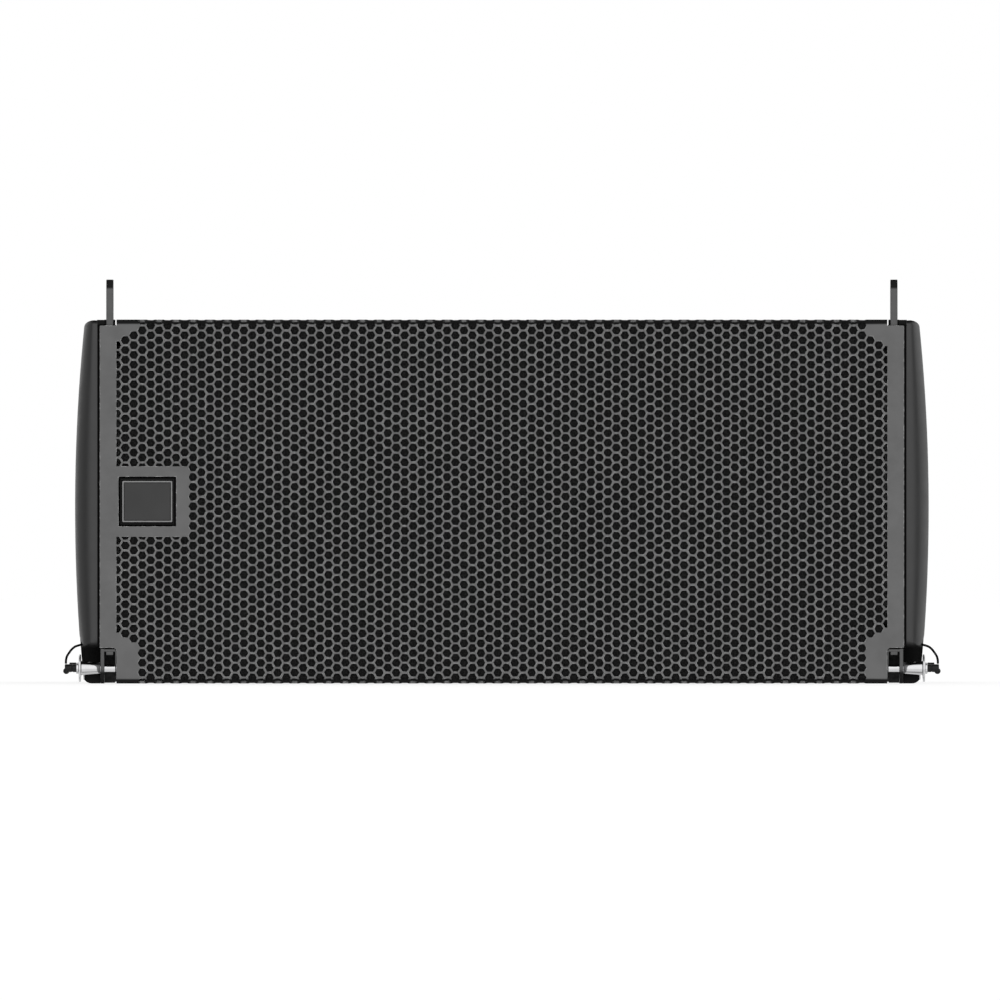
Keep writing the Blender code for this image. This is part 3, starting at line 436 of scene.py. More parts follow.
def rounded_box(half_u, low_v, high_v, radius, steps=6):
    """Outline of a rectangle with round corners, centred on u = 0."""
    corners = ((-half_u, low_v), (half_u, low_v), (half_u, high_v), (-half_u, high_v))
    return rounded([(*corner, radius) for corner in corners], steps)


def circle(u, v, radius, steps=32):
    turns = [2 * pi * step / steps for step in range(steps)]
    return [(u + radius * cos(a), v + radius * sin(a)) for a in turns]


AXES = {"X": Matrix(((0, 0, 1), (1, 0, 0), (0, 1, 0))), "Y": Matrix(((1, 0, 0), (0, 0, -1), (0, 1, 0)))}


def plate(name, axis, outlines, start, end, edge=0.0004):
    """Flat outlines, the first outer and the rest holes, as a plate with softened edges."""
    flat = bpy.data.curves.new(name, "CURVE")
    flat.dimensions = "2D"
    flat.fill_mode = "BOTH"
    flat.extrude = abs(end - start) / 2 - edge
    flat.bevel_depth = edge
    flat.bevel_resolution = 1
    flat.offset = -edge
    for outline in outlines:
        spline = flat.splines.new("POLY")
        spline.points.add(len(outline) - 1)
        spline.use_cyclic_u = True
        for point, (u, v) in zip(spline.points, outline):
            point.co = (u, v, 0.0, 1.0)
    drawn = bpy.data.objects.new(name, flat)
    bpy.context.scene.collection.objects.link(drawn)
    place = Vector()
    place["XYZ".index(axis)] = (start + end) / 2
    mesh = evaluated(drawn)
    mesh.transform(Matrix.Translation(place) @ AXES[axis].to_4x4())
    work = bmesh.new()
    work.from_mesh(mesh)
    bmesh.ops.remove_doubles(work, verts=work.verts, dist=2e-6)
    return from_bmesh(name, work)


def side_plate(name, outlines, sign, low, high, edge=0.0004):
    """A plate that faces sideways: low and high are its distances from the middle plane."""
    return plate(name, "X", outlines, sign * low, sign * high, edge)


def bar(name, sign, low, high, y, z, edge=0.0004, steps=2):
    """A box with rounded edges: low and high are its distances from the middle plane."""
    first, last = Vector((sign * low, y[0], z[0])), Vector((sign * high, y[1], z[1]))
    size = [abs(b - a) for a, b in zip(first, last)]
    work = bmesh.new()
    place = Matrix.Translation((first + last) / 2) @ Matrix.Diagonal((*size, 1.0))
    bmesh.ops.create_cube(work, size=1.0, matrix=place)
    if edge:
        rims = list(work.edges)
        bmesh.ops.bevel(work, geom=rims, offset=edge, segments=steps, profile=0.5, affect="EDGES")
    return from_bmesh(name, work)


def join(name, *others):
    """Several meshes as one object."""
    work = bmesh.new()
    for other in others:
        work.from_mesh(other.data)
        bpy.data.objects.remove(other, do_unlink=True)
    return from_bmesh(name, work)


def boolean(target, operation, *others):
    for other in others:
        step = target.modifiers.new(other.name, "BOOLEAN")
        step.operation = operation
        step.solver = "EXACT"
        step.object = other
    made = baked(target)
    for other in others:
        bpy.data.objects.remove(other, do_unlink=True)
    return made


def quads(work, rings, ring=False):
    """Faces between loops of vertices, where a loop of one is a point. On a ring, the last loop
    also joins the first."""
    for lower, upper in zip(rings, rings[1:] + rings[:ring]):
        for i in range(max(len(lower), len(upper))):
            picks = ((lower, i - 1), (lower, i), (upper, i), (upper, i - 1))
            work.faces.new(list(dict.fromkeys(loop[k % len(loop)] for loop, k in picks)))


def loops_body(name, loops, angle=35.0, ring=False):
    """A body through loops with equal counts, capped at both ends or joined into a ring."""
    work = bmesh.new()
    rings = [[work.verts.new(point) for point in loop] for loop in loops]
    quads(work, rings, ring)
    if not ring:
        work.faces.new(rings[0][::-1])
        work.faces.new(rings[-1])
    return from_bmesh(name, work, angle)


def turned(name, profile, place, direction, steps=48, ring=False, angle=35.0, six=()):
    """A turned shape: profile points (radius, height), with height along direction.

    The profile points whose index is in six run round a hexagon instead of a circle."""
    turn = Vector(direction).to_track_quat("Z", "Y").to_matrix().to_4x4()
    matrix = Matrix.Translation(place) @ turn
    work = bmesh.new()
    rings = []
    for index, (radius, height) in enumerate(profile):
        rings.append([])
        for a in (2 * pi * step / steps for step in range(steps if radius else 1)):
            reach = radius
            if index in six:
                reach *= cos(pi / 6) / cos(a % (pi / 3) - pi / 6)
            spot = matrix @ Vector((reach * cos(a), reach * sin(a), height))
            rings[-1].append(work.verts.new(spot))
    quads(work, rings, ring)
    return from_bmesh(name, work, angle)


def screws(name, places, direction, radius, height, socket=0.45):
    """Button-head screws with a hexagonal socket, as one object. Each place is the seat's centre."""
    heads = []
    for index, place in enumerate(places):
        outer = [(0.0, -0.0006), (radius * 0.98, -0.0006), (radius, 0.0)]
        turns = (radians(25), radians(50))
        dome = [(radius * cos(a), height * sin(a)) for a in turns]
        dome.append((radius * 0.55, height * 0.97))
        six = len(outer) + len(dome)
        recess = [(radius * socket, height), (radius * socket, height * 0.25), (0.0, height * 0.2)]
        heads.append(
            turned(f"{name}_{index}", outer + dome + recess, place, direction, 24, six=(six, six + 1))
        )
    return join(name, *heads)


# Grille


def on_sheet(x, along, depth):
    """A point of the folded sheet: along is measured up its outer face from the middle, and
    depth goes into the steel."""
    sign = -1 if along < 0 else 1
    past = abs(along) - FOLD_START
    if past <= 0:
        return Vector((x, FRONT + depth, MID_Z + along))
    turn = min(past / FOLD_RADIUS, FOLD_TURN)
    reach = FOLD_RADIUS - depth
    y = FRONT + FOLD_RADIUS - reach * cos(turn)
    z = FOLD_START + reach * sin(turn)
    rest = past - FOLD_RADIUS * turn
    y += rest * sin(FOLD_TURN)
    z += rest * cos(FOLD_TURN)
    return Vector((x, y, MID_Z + sign * z))


def clipped(polygon, axis, limit, keep):
    """The part of a convex polygon on one side of a line; keep is +1 above the limit, -1 below."""
    result = []
    for start, end in zip(polygon, polygon[1:] + polygon[:1]):
        inside_start = keep * (start[axis] - limit) >= 0
        inside_end = keep * (end[axis] - limit) >= 0
        if inside_start:
            result.append(start)
        if inside_start != inside_end:
            share = (limit - start[axis]) / (end[axis] - start[axis])
            result.append((start[0] + (end[0] - start[0]) * share, start[1] + (end[1] - start[1]) * share))
    return result


def hole_rows(column):
    """Rows of holes in a column, in pitches from the middle: short ones near the notches."""
    from_right = COLUMNS - 1 - column
    high, low = 20.5, -20.5
    if column < 3:
        high, low = 16 + column / 2, -13 - column / 2
    if from_right < 3:
        high, low = 15.5 + from_right / 2, -12.5 - from_right / 2
    rows = [half / 2 for half in range(-41, 42) if (half - column) % 2 == 0]
    return [row for row in rows if low <= row <= high]


def hexagon_holes():
    corner = HOLE / sqrt(3)
    turns = [pi / 3 * step for step in range(6)]
    holes = []
    for column in range(COLUMNS):
        x = FIRST_COLUMN + column * PITCH * sqrt(3) / 2
        for row in hole_rows(column):
            along = row * PITCH
            hole = [(x + corner * cos(a), along + corner * sin(a)) for a in turns]
            if column == 0:
                hole = clipped(hole, 0, -FIELD_HALF, 1)
            if column == COLUMNS - 1:
                hole = clipped(hole, 0, FIELD_HALF, -1)
            if x < PATCH_X and abs(along) < PATCH_HALF + HOLE / 2:
                side = 1 if along > 0 else -1
                hole = clipped(hole, 1, side * PATCH_HALF, side)
            if len(hole) > 2:
                holes.append(hole)
    return holes


def grille():
    flange = FLANGE_BACK - FRONT - FOLD_RADIUS * tan(FOLD_TURN / 2) * sin(FOLD_TURN)
    arc = FOLD_RADIUS * FOLD_TURN
    end = FOLD_START + arc + flange / sin(FOLD_TURN)
    top, low = NOTCH_TOP_Z - MID_Z, NOTCH_LOW_Z - MID_Z
    half = [
        (NOTCH_X, -end, 0), (NOTCH_X, low, 0.003), (FACE_HALF, low, 0.0008),
        (FACE_HALF, top, 0.0008), (NOTCH_X, top, 0), (NOTCH_X, end, 0),
    ]
    outline = rounded(half + [(-x, along, radius) for x, along, radius in reversed(half)])
    half_u, half_v = BADGE_SIZE[0] / 2 + GAP, BADGE_SIZE[1] / 2 + GAP
    window = [(BADGE_X + u * half_u, v * half_v) for u, v in ((-1, -1), (1, -1), (1, 1), (-1, 1))]
    polygons = [outline, window, *hexagon_holes()]
    points, faces, edges = [], [], []
    for polygon in polygons:
        faces.append(list(range(len(points), len(points) + len(polygon))))
        points += [Vector((x * 1000, along * 1000)) for x, along in polygon]
    for sign in (-1, 1):
        for step in range(9):
            along = sign * (FOLD_START + arc * step / 8)
            edges.append((len(points), len(points) + 1))
            points += [Vector((x * 1000, along * 1000)) for x in (-NOTCH_X, NOTCH_X)]
    flat, _, triangles, _, _, owners = geometry.delaunay_2d_cdt(points, edges, faces, 1, 1e-5, True)
    kept = [face for face, owner in zip(triangles, owners) if list(owner) == [0]]
    used = sorted({index for face in kept for index in face})
    fresh = {index: spot for spot, index in enumerate(used)}
    skins = [on_sheet(*flat[i] / 1000, depth) for depth in (0.0, SHEET) for i in used]
    shift = len(used)
    front = [[fresh[index] for index in face] for face in kept]
    back = [[index + shift for index in reversed(face)] for face in front]
    sides = {(a, b) for face in front for a, b in zip(face, face[1:] + face[:1])}
    walls = [(b, a, a + shift, b + shift) for a, b in sorted(sides) if (b, a) not in sides]
    mesh = bpy.data.meshes.new("grille_sheet")
    mesh.from_pydata(skins, [], front + back + walls)
    work = bmesh.new()
    work.from_mesh(mesh)
    piece(from_bmesh("grille_sheet", work, 30.0), "grille_steel", "grille")


def evenly(points, count):
    """A polyline's points placed again at even steps."""
    points = [Vector(point) for point in points]
    travelled = [0.0]
    for first, second in zip(points, points[1:]):
        travelled.append(travelled[-1] + (second - first).length)
    result = []
    spot = 0
    for index in range(count):
        goal = travelled[-1] * index / (count - 1)
        while spot < len(points) - 2 and travelled[spot + 1] < goal:
            spot += 1
        span = travelled[spot + 1] - travelled[spot]
        result.append(points[spot].lerp(points[spot + 1], (goal - travelled[spot]) / span))
    return result


def foam():
    """Open-cell foam inside the sheet, round both folds, its outside pressed slightly uneven."""
    skin = SHEET + GAP + 0.00015
    up, across = 90, 150

    def profile(depth, radius):
        low = [(FOAM_BACK, bottom_z(FOAM_BACK) - CAB_DROP + depth, 0), (FRONT + depth, depth, radius)]
        return evenly(rounded(low + [(y, HEIGHT - z, r) for y, z, r in low[::-1]], 8), up + 1)

    outer = profile(skin, FOLD_RADIUS - skin)
    inner = profile(SHEET + GAP + FOAM_THICK, 0.0004)
    half_u, half_v = (size / 2 + 0.0045 for size in BADGE_SIZE)

    def solid(i, j):
        if not (0 <= i < across and 0 <= j < up):
            return False
        x = FOAM_HALF * (2 * (i + 0.5) / across - 1)
        z = (outer[j].y + outer[j + 1].y) / 2
        return abs(x - BADGE_X) > half_u or abs(z - MID_Z) > half_v

    work = bmesh.new()
    spots = {}

    def spot(i, j, back_side):
        key = (i, j, back_side)
        if key not in spots:
            x = FOAM_HALF * (2 * i / across - 1)
            y, z = inner[j] if back_side else outer[j]
            if not back_side:
                y += 0.00014 * sin(x * 311 + 2 * sin(z * 97)) * sin(z * 283)
            spots[key] = work.verts.new((x, y, z))
        return spots[key]

    beside = ((0, -1), (1, 0), (0, 1), (-1, 0))
    for i in range(across):
        for j in range(up):
            if not solid(i, j):
                continue
            ring = ((i, j), (i + 1, j), (i + 1, j + 1), (i, j + 1))
            work.faces.new([spot(*corner, False) for corner in ring])
            work.faces.new([spot(*corner, True) for corner in reversed(ring)])
            for (a, b), (di, dj) in zip(zip(ring, ring[1:] + ring[:1]), beside):
                if not solid(i + di, j + dj):
                    work.faces.new([spot(*b, False), spot(*a, False), spot(*a, True), spot(*b, True)])
    made = piece(from_bmesh("grille_foam_sheet", work), "foam", "grille_foam")


def badge():
    """A plain badge: a black tray with a fine frame round a grey plate."""
    u, v = (size / 2 for size in BADGE_SIZE)
    rim_u, rim_v = (size / 2 for size in BADGE_RIM)

    def shape(name, half_u, half_v, levels, angle, ring=False):
        """A body through levels: each an inset, a depth behind the front and a corner radius."""
        loops = []
        for inset, depth, radius in levels:
            in_u, in_v = inset if isinstance(inset, tuple) else (inset, inset)
            outline = rounded_box(half_u - in_u, in_v - half_v, half_v - in_v, radius, 3)
            loops.append([(BADGE_X + a, FRONT + depth, MID_Z + b) for a, b in outline])
        return loops_body(name, loops, angle, ring)

    soft = 0.0006
    well = (u - rim_u - 0.0001, v - rim_v - 0.0001)
    levels = [(0, 0.004, soft), (0, 0.0016, soft), (0.0016, 0.0001, soft), (0.002, 0.0001, soft)]
    levels += [(well, 0.0012, soft), (well, 0.0025, soft)]
    tray = shape("badge_tray_moulding", u, v, levels, 20.0)
    piece(tray, "badge_black", "badge_tray")
    u, v = rim_u - 0.0001, rim_v - 0.0001
    levels = [(0, 0.0022, 0.0008), (0, 0.0008, 0.0008), (0.0002, 0.0006, 0.0008)]
    levels += [(0.001, 0.0006, soft), (0.0012, 0.0008, soft), (0.0012, 0.0022, soft)]
    bright = shape("badge_frame", u, v, levels, 25.0, ring=True)
    bright.data.materials.append(looks["badge_frame"].made)
    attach(bright, "cabinet")
    levels = [(0.0003, 0.0022, soft), (0.0003, 0.0015, soft), (0.0018, 0.0015, soft)]
    levels += [(0.0018, 0.001, soft), (0.0021, 0.0008, soft)]
    face = shape("badge_face", u, v, levels, 20.0)
    piece(face, "badge_grey", "badge_plate")


# Rigging


# Parts of the rigging that lie deep in a slot get painted shade: a near-black look in place of their coat
SLOT_SHADE_LOOKS = {"front_web": "painted_shade_black", "front_heel": "painted_slot_shade", "front_sole": "painted_slot_shade"}


def rigging_frame(end, side, sign, outer, cheek, cheek_in, pin, bolt, bars):
    """An outer plate and an inner cheek, with the bars between and beside them."""
    holes = [circle(*pin, PIN_HOLE), circle(*bolt, BOLT_RADIUS + BOLT_CLEAR)]
    made = side_plate(f"{end}_outer_plate_{side}", [outer, *holes], sign, SLOT_OUT, PLATE_OUT)
    piece(made, "powder_coat", f"{end}_rigging_{side}")
    made = side_plate(f"{end}_inner_cheek_{side}", [cheek, *holes], sign, cheek_in, SLOT_IN, 0.0002)
    piece(made, "powder_coat")
    for name, low, high, y, z in bars:
        made = bar(f"{end}_{name}_{side}", sign, low, high, y, z)
        piece(made, "powder_coat", look=SLOT_SHADE_LOOKS.get(f"{end}_{name}"))


def front_rigging(side, sign):
    nose = CAP_FRONT - 0.0005
    behind = FRONT + SHEET + 0.0013
    step_z = NOTCH_LOW_Z - 0.001

    def outline(low, step, top):
        """Outline of an upright plate whose lower edge is at height low."""
        foot = [(nose, low, 0.013), (-0.174, low, 0.004), (-0.16, 0.0075, 0), (-0.13, 0.0105, 0.003)]
        head = [(-0.13, 0.296, 0.004), (behind, top, 0.003), (behind, step + 0.001, 0), (nose, step, 0)]
        return rounded(foot + head)

    inner, outer = CHEEK_IN, SLOT_OUT + 0.0008
    heel_y, pad_y = (-0.1812, -0.1778), (-0.175, -0.15)
    link_in, link_out = LINK_MID - LINK_THICK / 2, LINK_MID + LINK_THICK / 2
    bars = (
        ("bridge", SLOT_IN - 0.0001, outer, (nose, -0.15), (0.0268, step_z)),
        ("tab", link_in, link_out, (nose, -0.208), (0.024, 0.0275)),
        ("web", inner, outer, (-0.134, -0.1305), (0.014, 0.29)),
        ("heel", inner, outer, heel_y, (CHEEK_LOW + 0.0003, 0.06)),
        ("sole", HEEL_IN, outer, heel_y, (0.0005, CHEEK_LOW + 0.001)),
        ("doubler", PAD_IN, inner + 0.0003, (-0.19, -0.135), (0.014, 0.288)),
        ("pad_low", PAD_IN, inner, pad_y, (0.06, 0.085)), ("pad_high", PAD_IN, inner, pad_y, (0.235, 0.26)),
    )
    plates = outline(0.0, step_z, 0.304), outline(CHEEK_LOW, step_z - 0.0012, 0.3052)
    rigging_frame("front", side, sign, *plates, CHEEK_IN, (PIN_Y, PIN_Z), LINK_PIVOT, bars)
    shape = rounded(
        [(y, z, 0.003) for y, z in ((-0.2172, 0.262), (-0.184, 0.262), (-0.184, HEIGHT), (-0.2172, HEIGHT))]
    )
    hole = circle(*LINK_PIVOT, BOLT_RADIUS + 2 * BOLT_CLEAR)
    # Black fillers either side of the link in the upper slot: painted shade where the slot lies in shade
    for name, low, high in (
        ("inner", SLOT_IN + 0.0001, link_in - GAP / 2), ("outer", link_out + GAP / 2, SLOT_OUT - 0.0001)
    ):
        shade_filler = side_plate(f"front_{name}_liner_{side}", [shape, hole], sign, low, high, 0.0003)
        piece(shade_filler, "rubber", look="painted_shade_black")
    # A pad at the back of the pin pocket whose near-black matt look is painted shade where the pocket lies
    # in shade
    pocket_shade_pad = bar(f"front_seal_{side}", sign, PLATE_OUT, CAP_IN + 0.0001, (-0.196, -0.186), (0.0005, 0.04))
    piece(pocket_shade_pad, "rubber", look="painted_shade_black")


def link_plate(end, side, sign, pivot, half, tip, direction):
    """A link plate with a round pivot end and a corner radius at its tip; direction is (y, z)."""
    along = Vector(direction)
    across = Vector((-along.y, along.x))
    hinge = [(half * sin(a), -half * cos(a)) for a in (pi * (k / 24 - 0.5) for k in range(25))]
    corner = 0.0095
    ends = rounded([(-half, 0, 0), (half, 0, 0), (half, tip, corner), (-half, tip, corner)], 10)[2:]
    pivot = Vector(pivot)
    points = [tuple(pivot - across * u + along * v) for u, v in hinge + ends]
    hole = pivot + along * (tip - 0.0185)
    outlines = [points, circle(*pivot, BOLT_RADIUS + 2 * BOLT_CLEAR), circle(*hole, PIN_HOLE)]
    edges = LINK_MID - LINK_THICK / 2, LINK_MID + LINK_THICK / 2
    made = side_plate(f"{end}_link_plate_{side}", outlines, sign, *edges, 0.0005)
    piece(made, "powder_coat", f"{end}_link_{side}", f"{end}_link_{side}")


def pivot_bolt(end, side, sign, place):
    """Shoulder bolt: shaft through both cheeks, and a domed head with a socket."""
    length = PLATE_OUT + GAP - CHEEK_IN
    profile = [
        (0.0, 0.0012), (0.0022, 0.0012), (0.0022, 0.0034), (0.004, 0.0035), (0.0053, 0.003),
        (0.0062, 0.002), (0.0066, 0.0007), (0.0066, 0.0), (BOLT_RADIUS, 0.0),
        (BOLT_RADIUS, 0.0004 - length), (BOLT_RADIUS - 0.0004, -length), (0.0, -length),
    ]
    seat = (sign * (PLATE_OUT + GAP), *place)
    made = turned(f"{end}_pivot_bolt_{side}", profile, seat, (sign, 0, 0), six=(1, 2))
    piece(made, "zinc_steel", f"{end}_link_bolt_{side}")


def pin(end, side, sign, y, z):
    """Quick-release pin: shaft with a locking-ball groove, tapered grip, thin flange and hollow neck."""
    grip = PLATE_OUT + GAP
    shaft = [
        (0.0, 0.0, 0), (PIN_SHAFT - 0.0008, 0.0, 0.0005), (PIN_SHAFT, 0.001, 0.0004), (PIN_SHAFT, 0.004, 0),
        (PIN_SHAFT - 0.0003, 0.0044, 0), (PIN_SHAFT - 0.0003, 0.0052, 0), (PIN_SHAFT, 0.0056, 0),
    ]
    head = [
        (PIN_SHAFT, grip, 0), (0.00475, grip, 0.0004), (0.006, 0.3577, 0.0004), (0.0112, 0.3579, 0),
        (0.0117, 0.3583, 0.0003), (0.0117, 0.3595, 0.0003), (0.011, 0.3598, 0), (0.0048, 0.36, 0.0003),
        (0.0048, 0.3619, 0.0004), (0.0038, 0.3619, 0.0002), (0.0038, 0.353, 0), (0.0, 0.353, 0),
    ]
    outline = rounded([(r, PIN_TIP + x, soft) for r, x, soft in shaft] + head, 3)
    made = turned(f"{end}_pin_body_{side}", outline, (0.0, y, z), (sign, 0, 0), 56, angle=30.0)
    piece(made, "chrome", f"{end}_pin_{side}", f"{end}_pin_{side}")


def pin_button(end, side, sign, y, z):
    """The push-button in a pin's neck; on a front pin, with the ball that ends its rope."""
    corners = ((0.0034, 0.366), (0.0031, 0.3657), (0.0031, 0.365), (0.0034, 0.3647), (0.0034, 0.3565),
               (0.0, 0.3565))
    outline = rounded([(0.0, 0.3717, 0), (0.0034, 0.3717, 0.0006), *((*point, 0) for point in corners)], 4)
    made = turned(f"{end}_pin_plunger_{side}", outline, (0.0, y, z), (sign, 0, 0), 40)
    body = f"{end}_pin_button_{side}"
    piece(made, "button_black", body, body)
    if end == "front":
        work = bmesh.new()
        bmesh.ops.create_uvsphere(work, u_segments=28, v_segments=18, radius=0.0027)
        for vertex in work.verts:
            vertex.co.z *= 0.98
            vertex.co += Vector((sign * 0.3704, y, z - 0.0024))
        piece(from_bmesh(f"{end}_lanyard_crimp_{side}", work), "button_black", body=body)


LANYARD_RADIUS = 0.001
LANYARD_KNOTS = (
    (0.3465, -0.188, 0.0345), (0.3465, -0.182, 0.0347), (0.347, -0.174, 0.0348), (0.3485, -0.166, 0.0346),
    (0.352, -0.161, 0.0342), (0.356, -0.1625, 0.0336), (0.3586, -0.169, 0.0327), (0.3612, -0.177, 0.032),
    (0.3637, -0.1845, 0.0309), (0.3663, -0.192, 0.0285), (0.3681, -0.197, 0.026), (0.3697, -0.2015, 0.0234),
    (0.3705, -0.2045, 0.0208), (0.3707, -0.2058, 0.019), (0.3707, -0.206, 0.0168),
)


def smooth_route(knots, count):
    """Evenly placed points along a smooth curve through the knots."""
    knots = [Vector(knot) for knot in knots]
    padded = [knots[0] * 2 - knots[1], *knots, knots[-1] * 2 - knots[-2]]
    dense = []
    for a, b, c, d in zip(padded, padded[1:], padded[2:], padded[3:]):
        for t in (step / 20 for step in range(20)):
            bend, twist = 2 * a - 5 * b + 4 * c - d, 3 * b - a - 3 * c + d
            dense.append(0.5 * (2 * b + (c - a) * t + bend * t**2 + twist * t**3))
    return evenly([*dense, knots[-1]], count)


def lanyard(side, sign):
    """Wire rope: a tube whose section has seven strands that wind round its centreline."""
    knots = [(sign * x, y, z) for x, y, z in LANYARD_KNOTS]
    route, rings = smooth_route(knots, 30), smooth_route(knots, 150)
    section, strands, lay = 28, 7, 0.0085
    length = sum((b - a).length for a, b in zip(rings, rings[1:]))
    loops = []
    side_way = Vector((0, 0, 1))
    for index, place in enumerate(rings):
        ahead = (rings[min(index + 1, len(rings) - 1)] - rings[max(index - 1, 0)]).normalized()
        side_way = (side_way - ahead * side_way.dot(ahead)).normalized()
        up_way = ahead.cross(side_way)
        twist = 2 * pi * (length * index / (len(rings) - 1)) / lay
        loops.append([])
        for a in (2 * pi * step / section for step in range(section)):
            reach = LANYARD_RADIUS * (0.9 + 0.1 * abs(cos((strands * a - twist) / 2)))
            loops[-1].append(place + reach * (side_way * cos(a) + up_way * sin(a)))
    rope = loops_body(f"lanyard_rope_{side}", loops, 60.0)
    piece(rope, "lanyard_wire", f"lanyard_{side}", None)
    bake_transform(rope)


def rear_rigging(side, sign):
    low = FOOT_HEIGHT + GAP
    outline = rounded([
        (0.142, low, 0.002), (0.212, low, 0.012), (0.212, 0.2655, 0.006), (0.13, 0.2725, 0.004),
        (0.13, 0.03, 0.002),
    ])
    inner, outer = SLOT_IN - 0.0008, SLOT_OUT + 0.0008
    bars = (
        ("web", inner, outer, (0.1305, 0.134), (0.032, 0.222)),
        ("stop", inner, outer, (0.143, 0.147), (0.2252, 0.2292)),
        ("pad_low", PAD_IN, inner, (0.15, 0.175), (0.06, 0.085)),
        ("pad_high", PAD_IN, inner, (0.15, 0.175), (0.2, 0.222)),
    )
    pin_place = (REAR_PIN_Y, REAR_PIN_Z)
    rigging_frame("rear", side, sign, outline, outline, CHEEK_IN - 0.001, pin_place, REAR_PIVOT, bars)


def rear_foot(side, sign):
    sizes = (HEEL_IN, PLATE_OUT, (0.1445, 0.17), (0.0, FOOT_HEIGHT), 0.0012, 3)
    piece(bar(f"rubber_foot_{side}", sign, *sizes), "rubber", f"rear_foot_{side}")


# End caps and handles


def cap_body(side, sign):
    """The cap's moulding before its pocket and window are cut."""
    quarter = [pi / 2 * step / 10 for step in range(1, 11)]
    depths = [-0.199, -0.19, -0.18, -0.168, -0.15, -0.12, -0.08, -0.04, 0.01, 0.05]
    depths += [0.1, 0.14, 0.18]
    turn_x = 0.3465

    def section(share, corner, nose):
        """Plan outline at a share of the height, its outer side inset by corner and its front
        drawn back by nose."""

        def spot(x, y):
            y += nose * max(0.0, (-0.168 - y) / (-0.168 - CAP_FRONT))
            low = 0.0 if y < -0.17 else bottom_z(y) - 0.003
            high = top_z(y) + (CAB_DROP if y < -0.17 else 0.003)
            return (sign * x, y, low + (high - low) * share)

        def reach(y):
            """Half width over the cap's side: shallow arcs from bottom to top and front to back."""
            low, high = bottom_z(y) - 0.003, top_z(y) + 0.003
            arc = 0.008 * ((low + (high - low) * share - CAP_WIDEST_Z) / 0.155) ** 2
            return CAP_HALF - arc - 0.0008 * ((y + 0.007) / 0.212) ** 2 - corner

        front_x, rear_x = (reach(depths[end]) - turn_x for end in (0, -1))
        points = [spot(turn_x, CAP_FRONT)]
        points += [spot(turn_x + front_x * sin(a), depths[0] - 0.02 * cos(a)) for a in quarter]
        points += [spot(reach(y), y) for y in depths[1:]]
        points += [spot(turn_x + rear_x * cos(a), depths[-1] + 0.025 * sin(a)) for a in quarter]
        return points + [spot(CAP_IN, point[1]) for point in reversed(points)]

    def edge(rise, corner, nose):
        """Levels round the lower edge: share of the height, inset of the side and of the front."""
        turns = [pi / 2 * step / 7 for step in range(7, -1, -1)]
        rounds = [(1 - sin(a), 1 - cos(a)) for a in turns]
        return [(rise * up / HEIGHT, corner * back, nose * back) for up, back in rounds]

    levels = edge(0.007, 0.0065, 0.01) + [(step / 20, 0.0, 0.0) for step in range(1, 20)]
    levels += [(1 - share, corner, nose) for share, corner, nose in edge(0.0045, 0.0045, 0.006)[::-1]]
    work = bmesh.new()
    made = [[work.verts.new(point) for point in section(*level)] for level in levels]
    quads(work, made)
    for ring in (made[0], made[-1]):
        for index in range(len(ring) // 2 - 1):
            work.faces.new((ring[index], ring[index + 1], ring[-index - 2], ring[-index - 1]))
    return from_bmesh(f"end_cap_moulding_{side}", work)


def pocket_cutter(side, sign):
    """The pin pocket: its roof lifts towards the outside and curves up towards the front."""
    turns = [pi / 2 * step / 8 for step in range(9)]
    loops = []
    for x, lift in POCKET_FLARE:
        roof = 0.0306 + lift
        front = [(-0.211 - 0.008 * sin(a), roof + 0.008 * (1 - cos(a))) for a in turns]
        corners = [
            (-0.235, -0.004), (LIP_FRONT, -0.004), (LIP_FRONT, LIP_TOP), (-0.15, LIP_TOP),
            (-0.15, 0.042 + lift), (-0.182, 0.042 + lift), *front, (-0.235, roof + 0.008),
        ]
        loops.append([(sign * x, y, z) for y, z in corners])
    return loops_body(f"cap_pocket_{side}", loops)


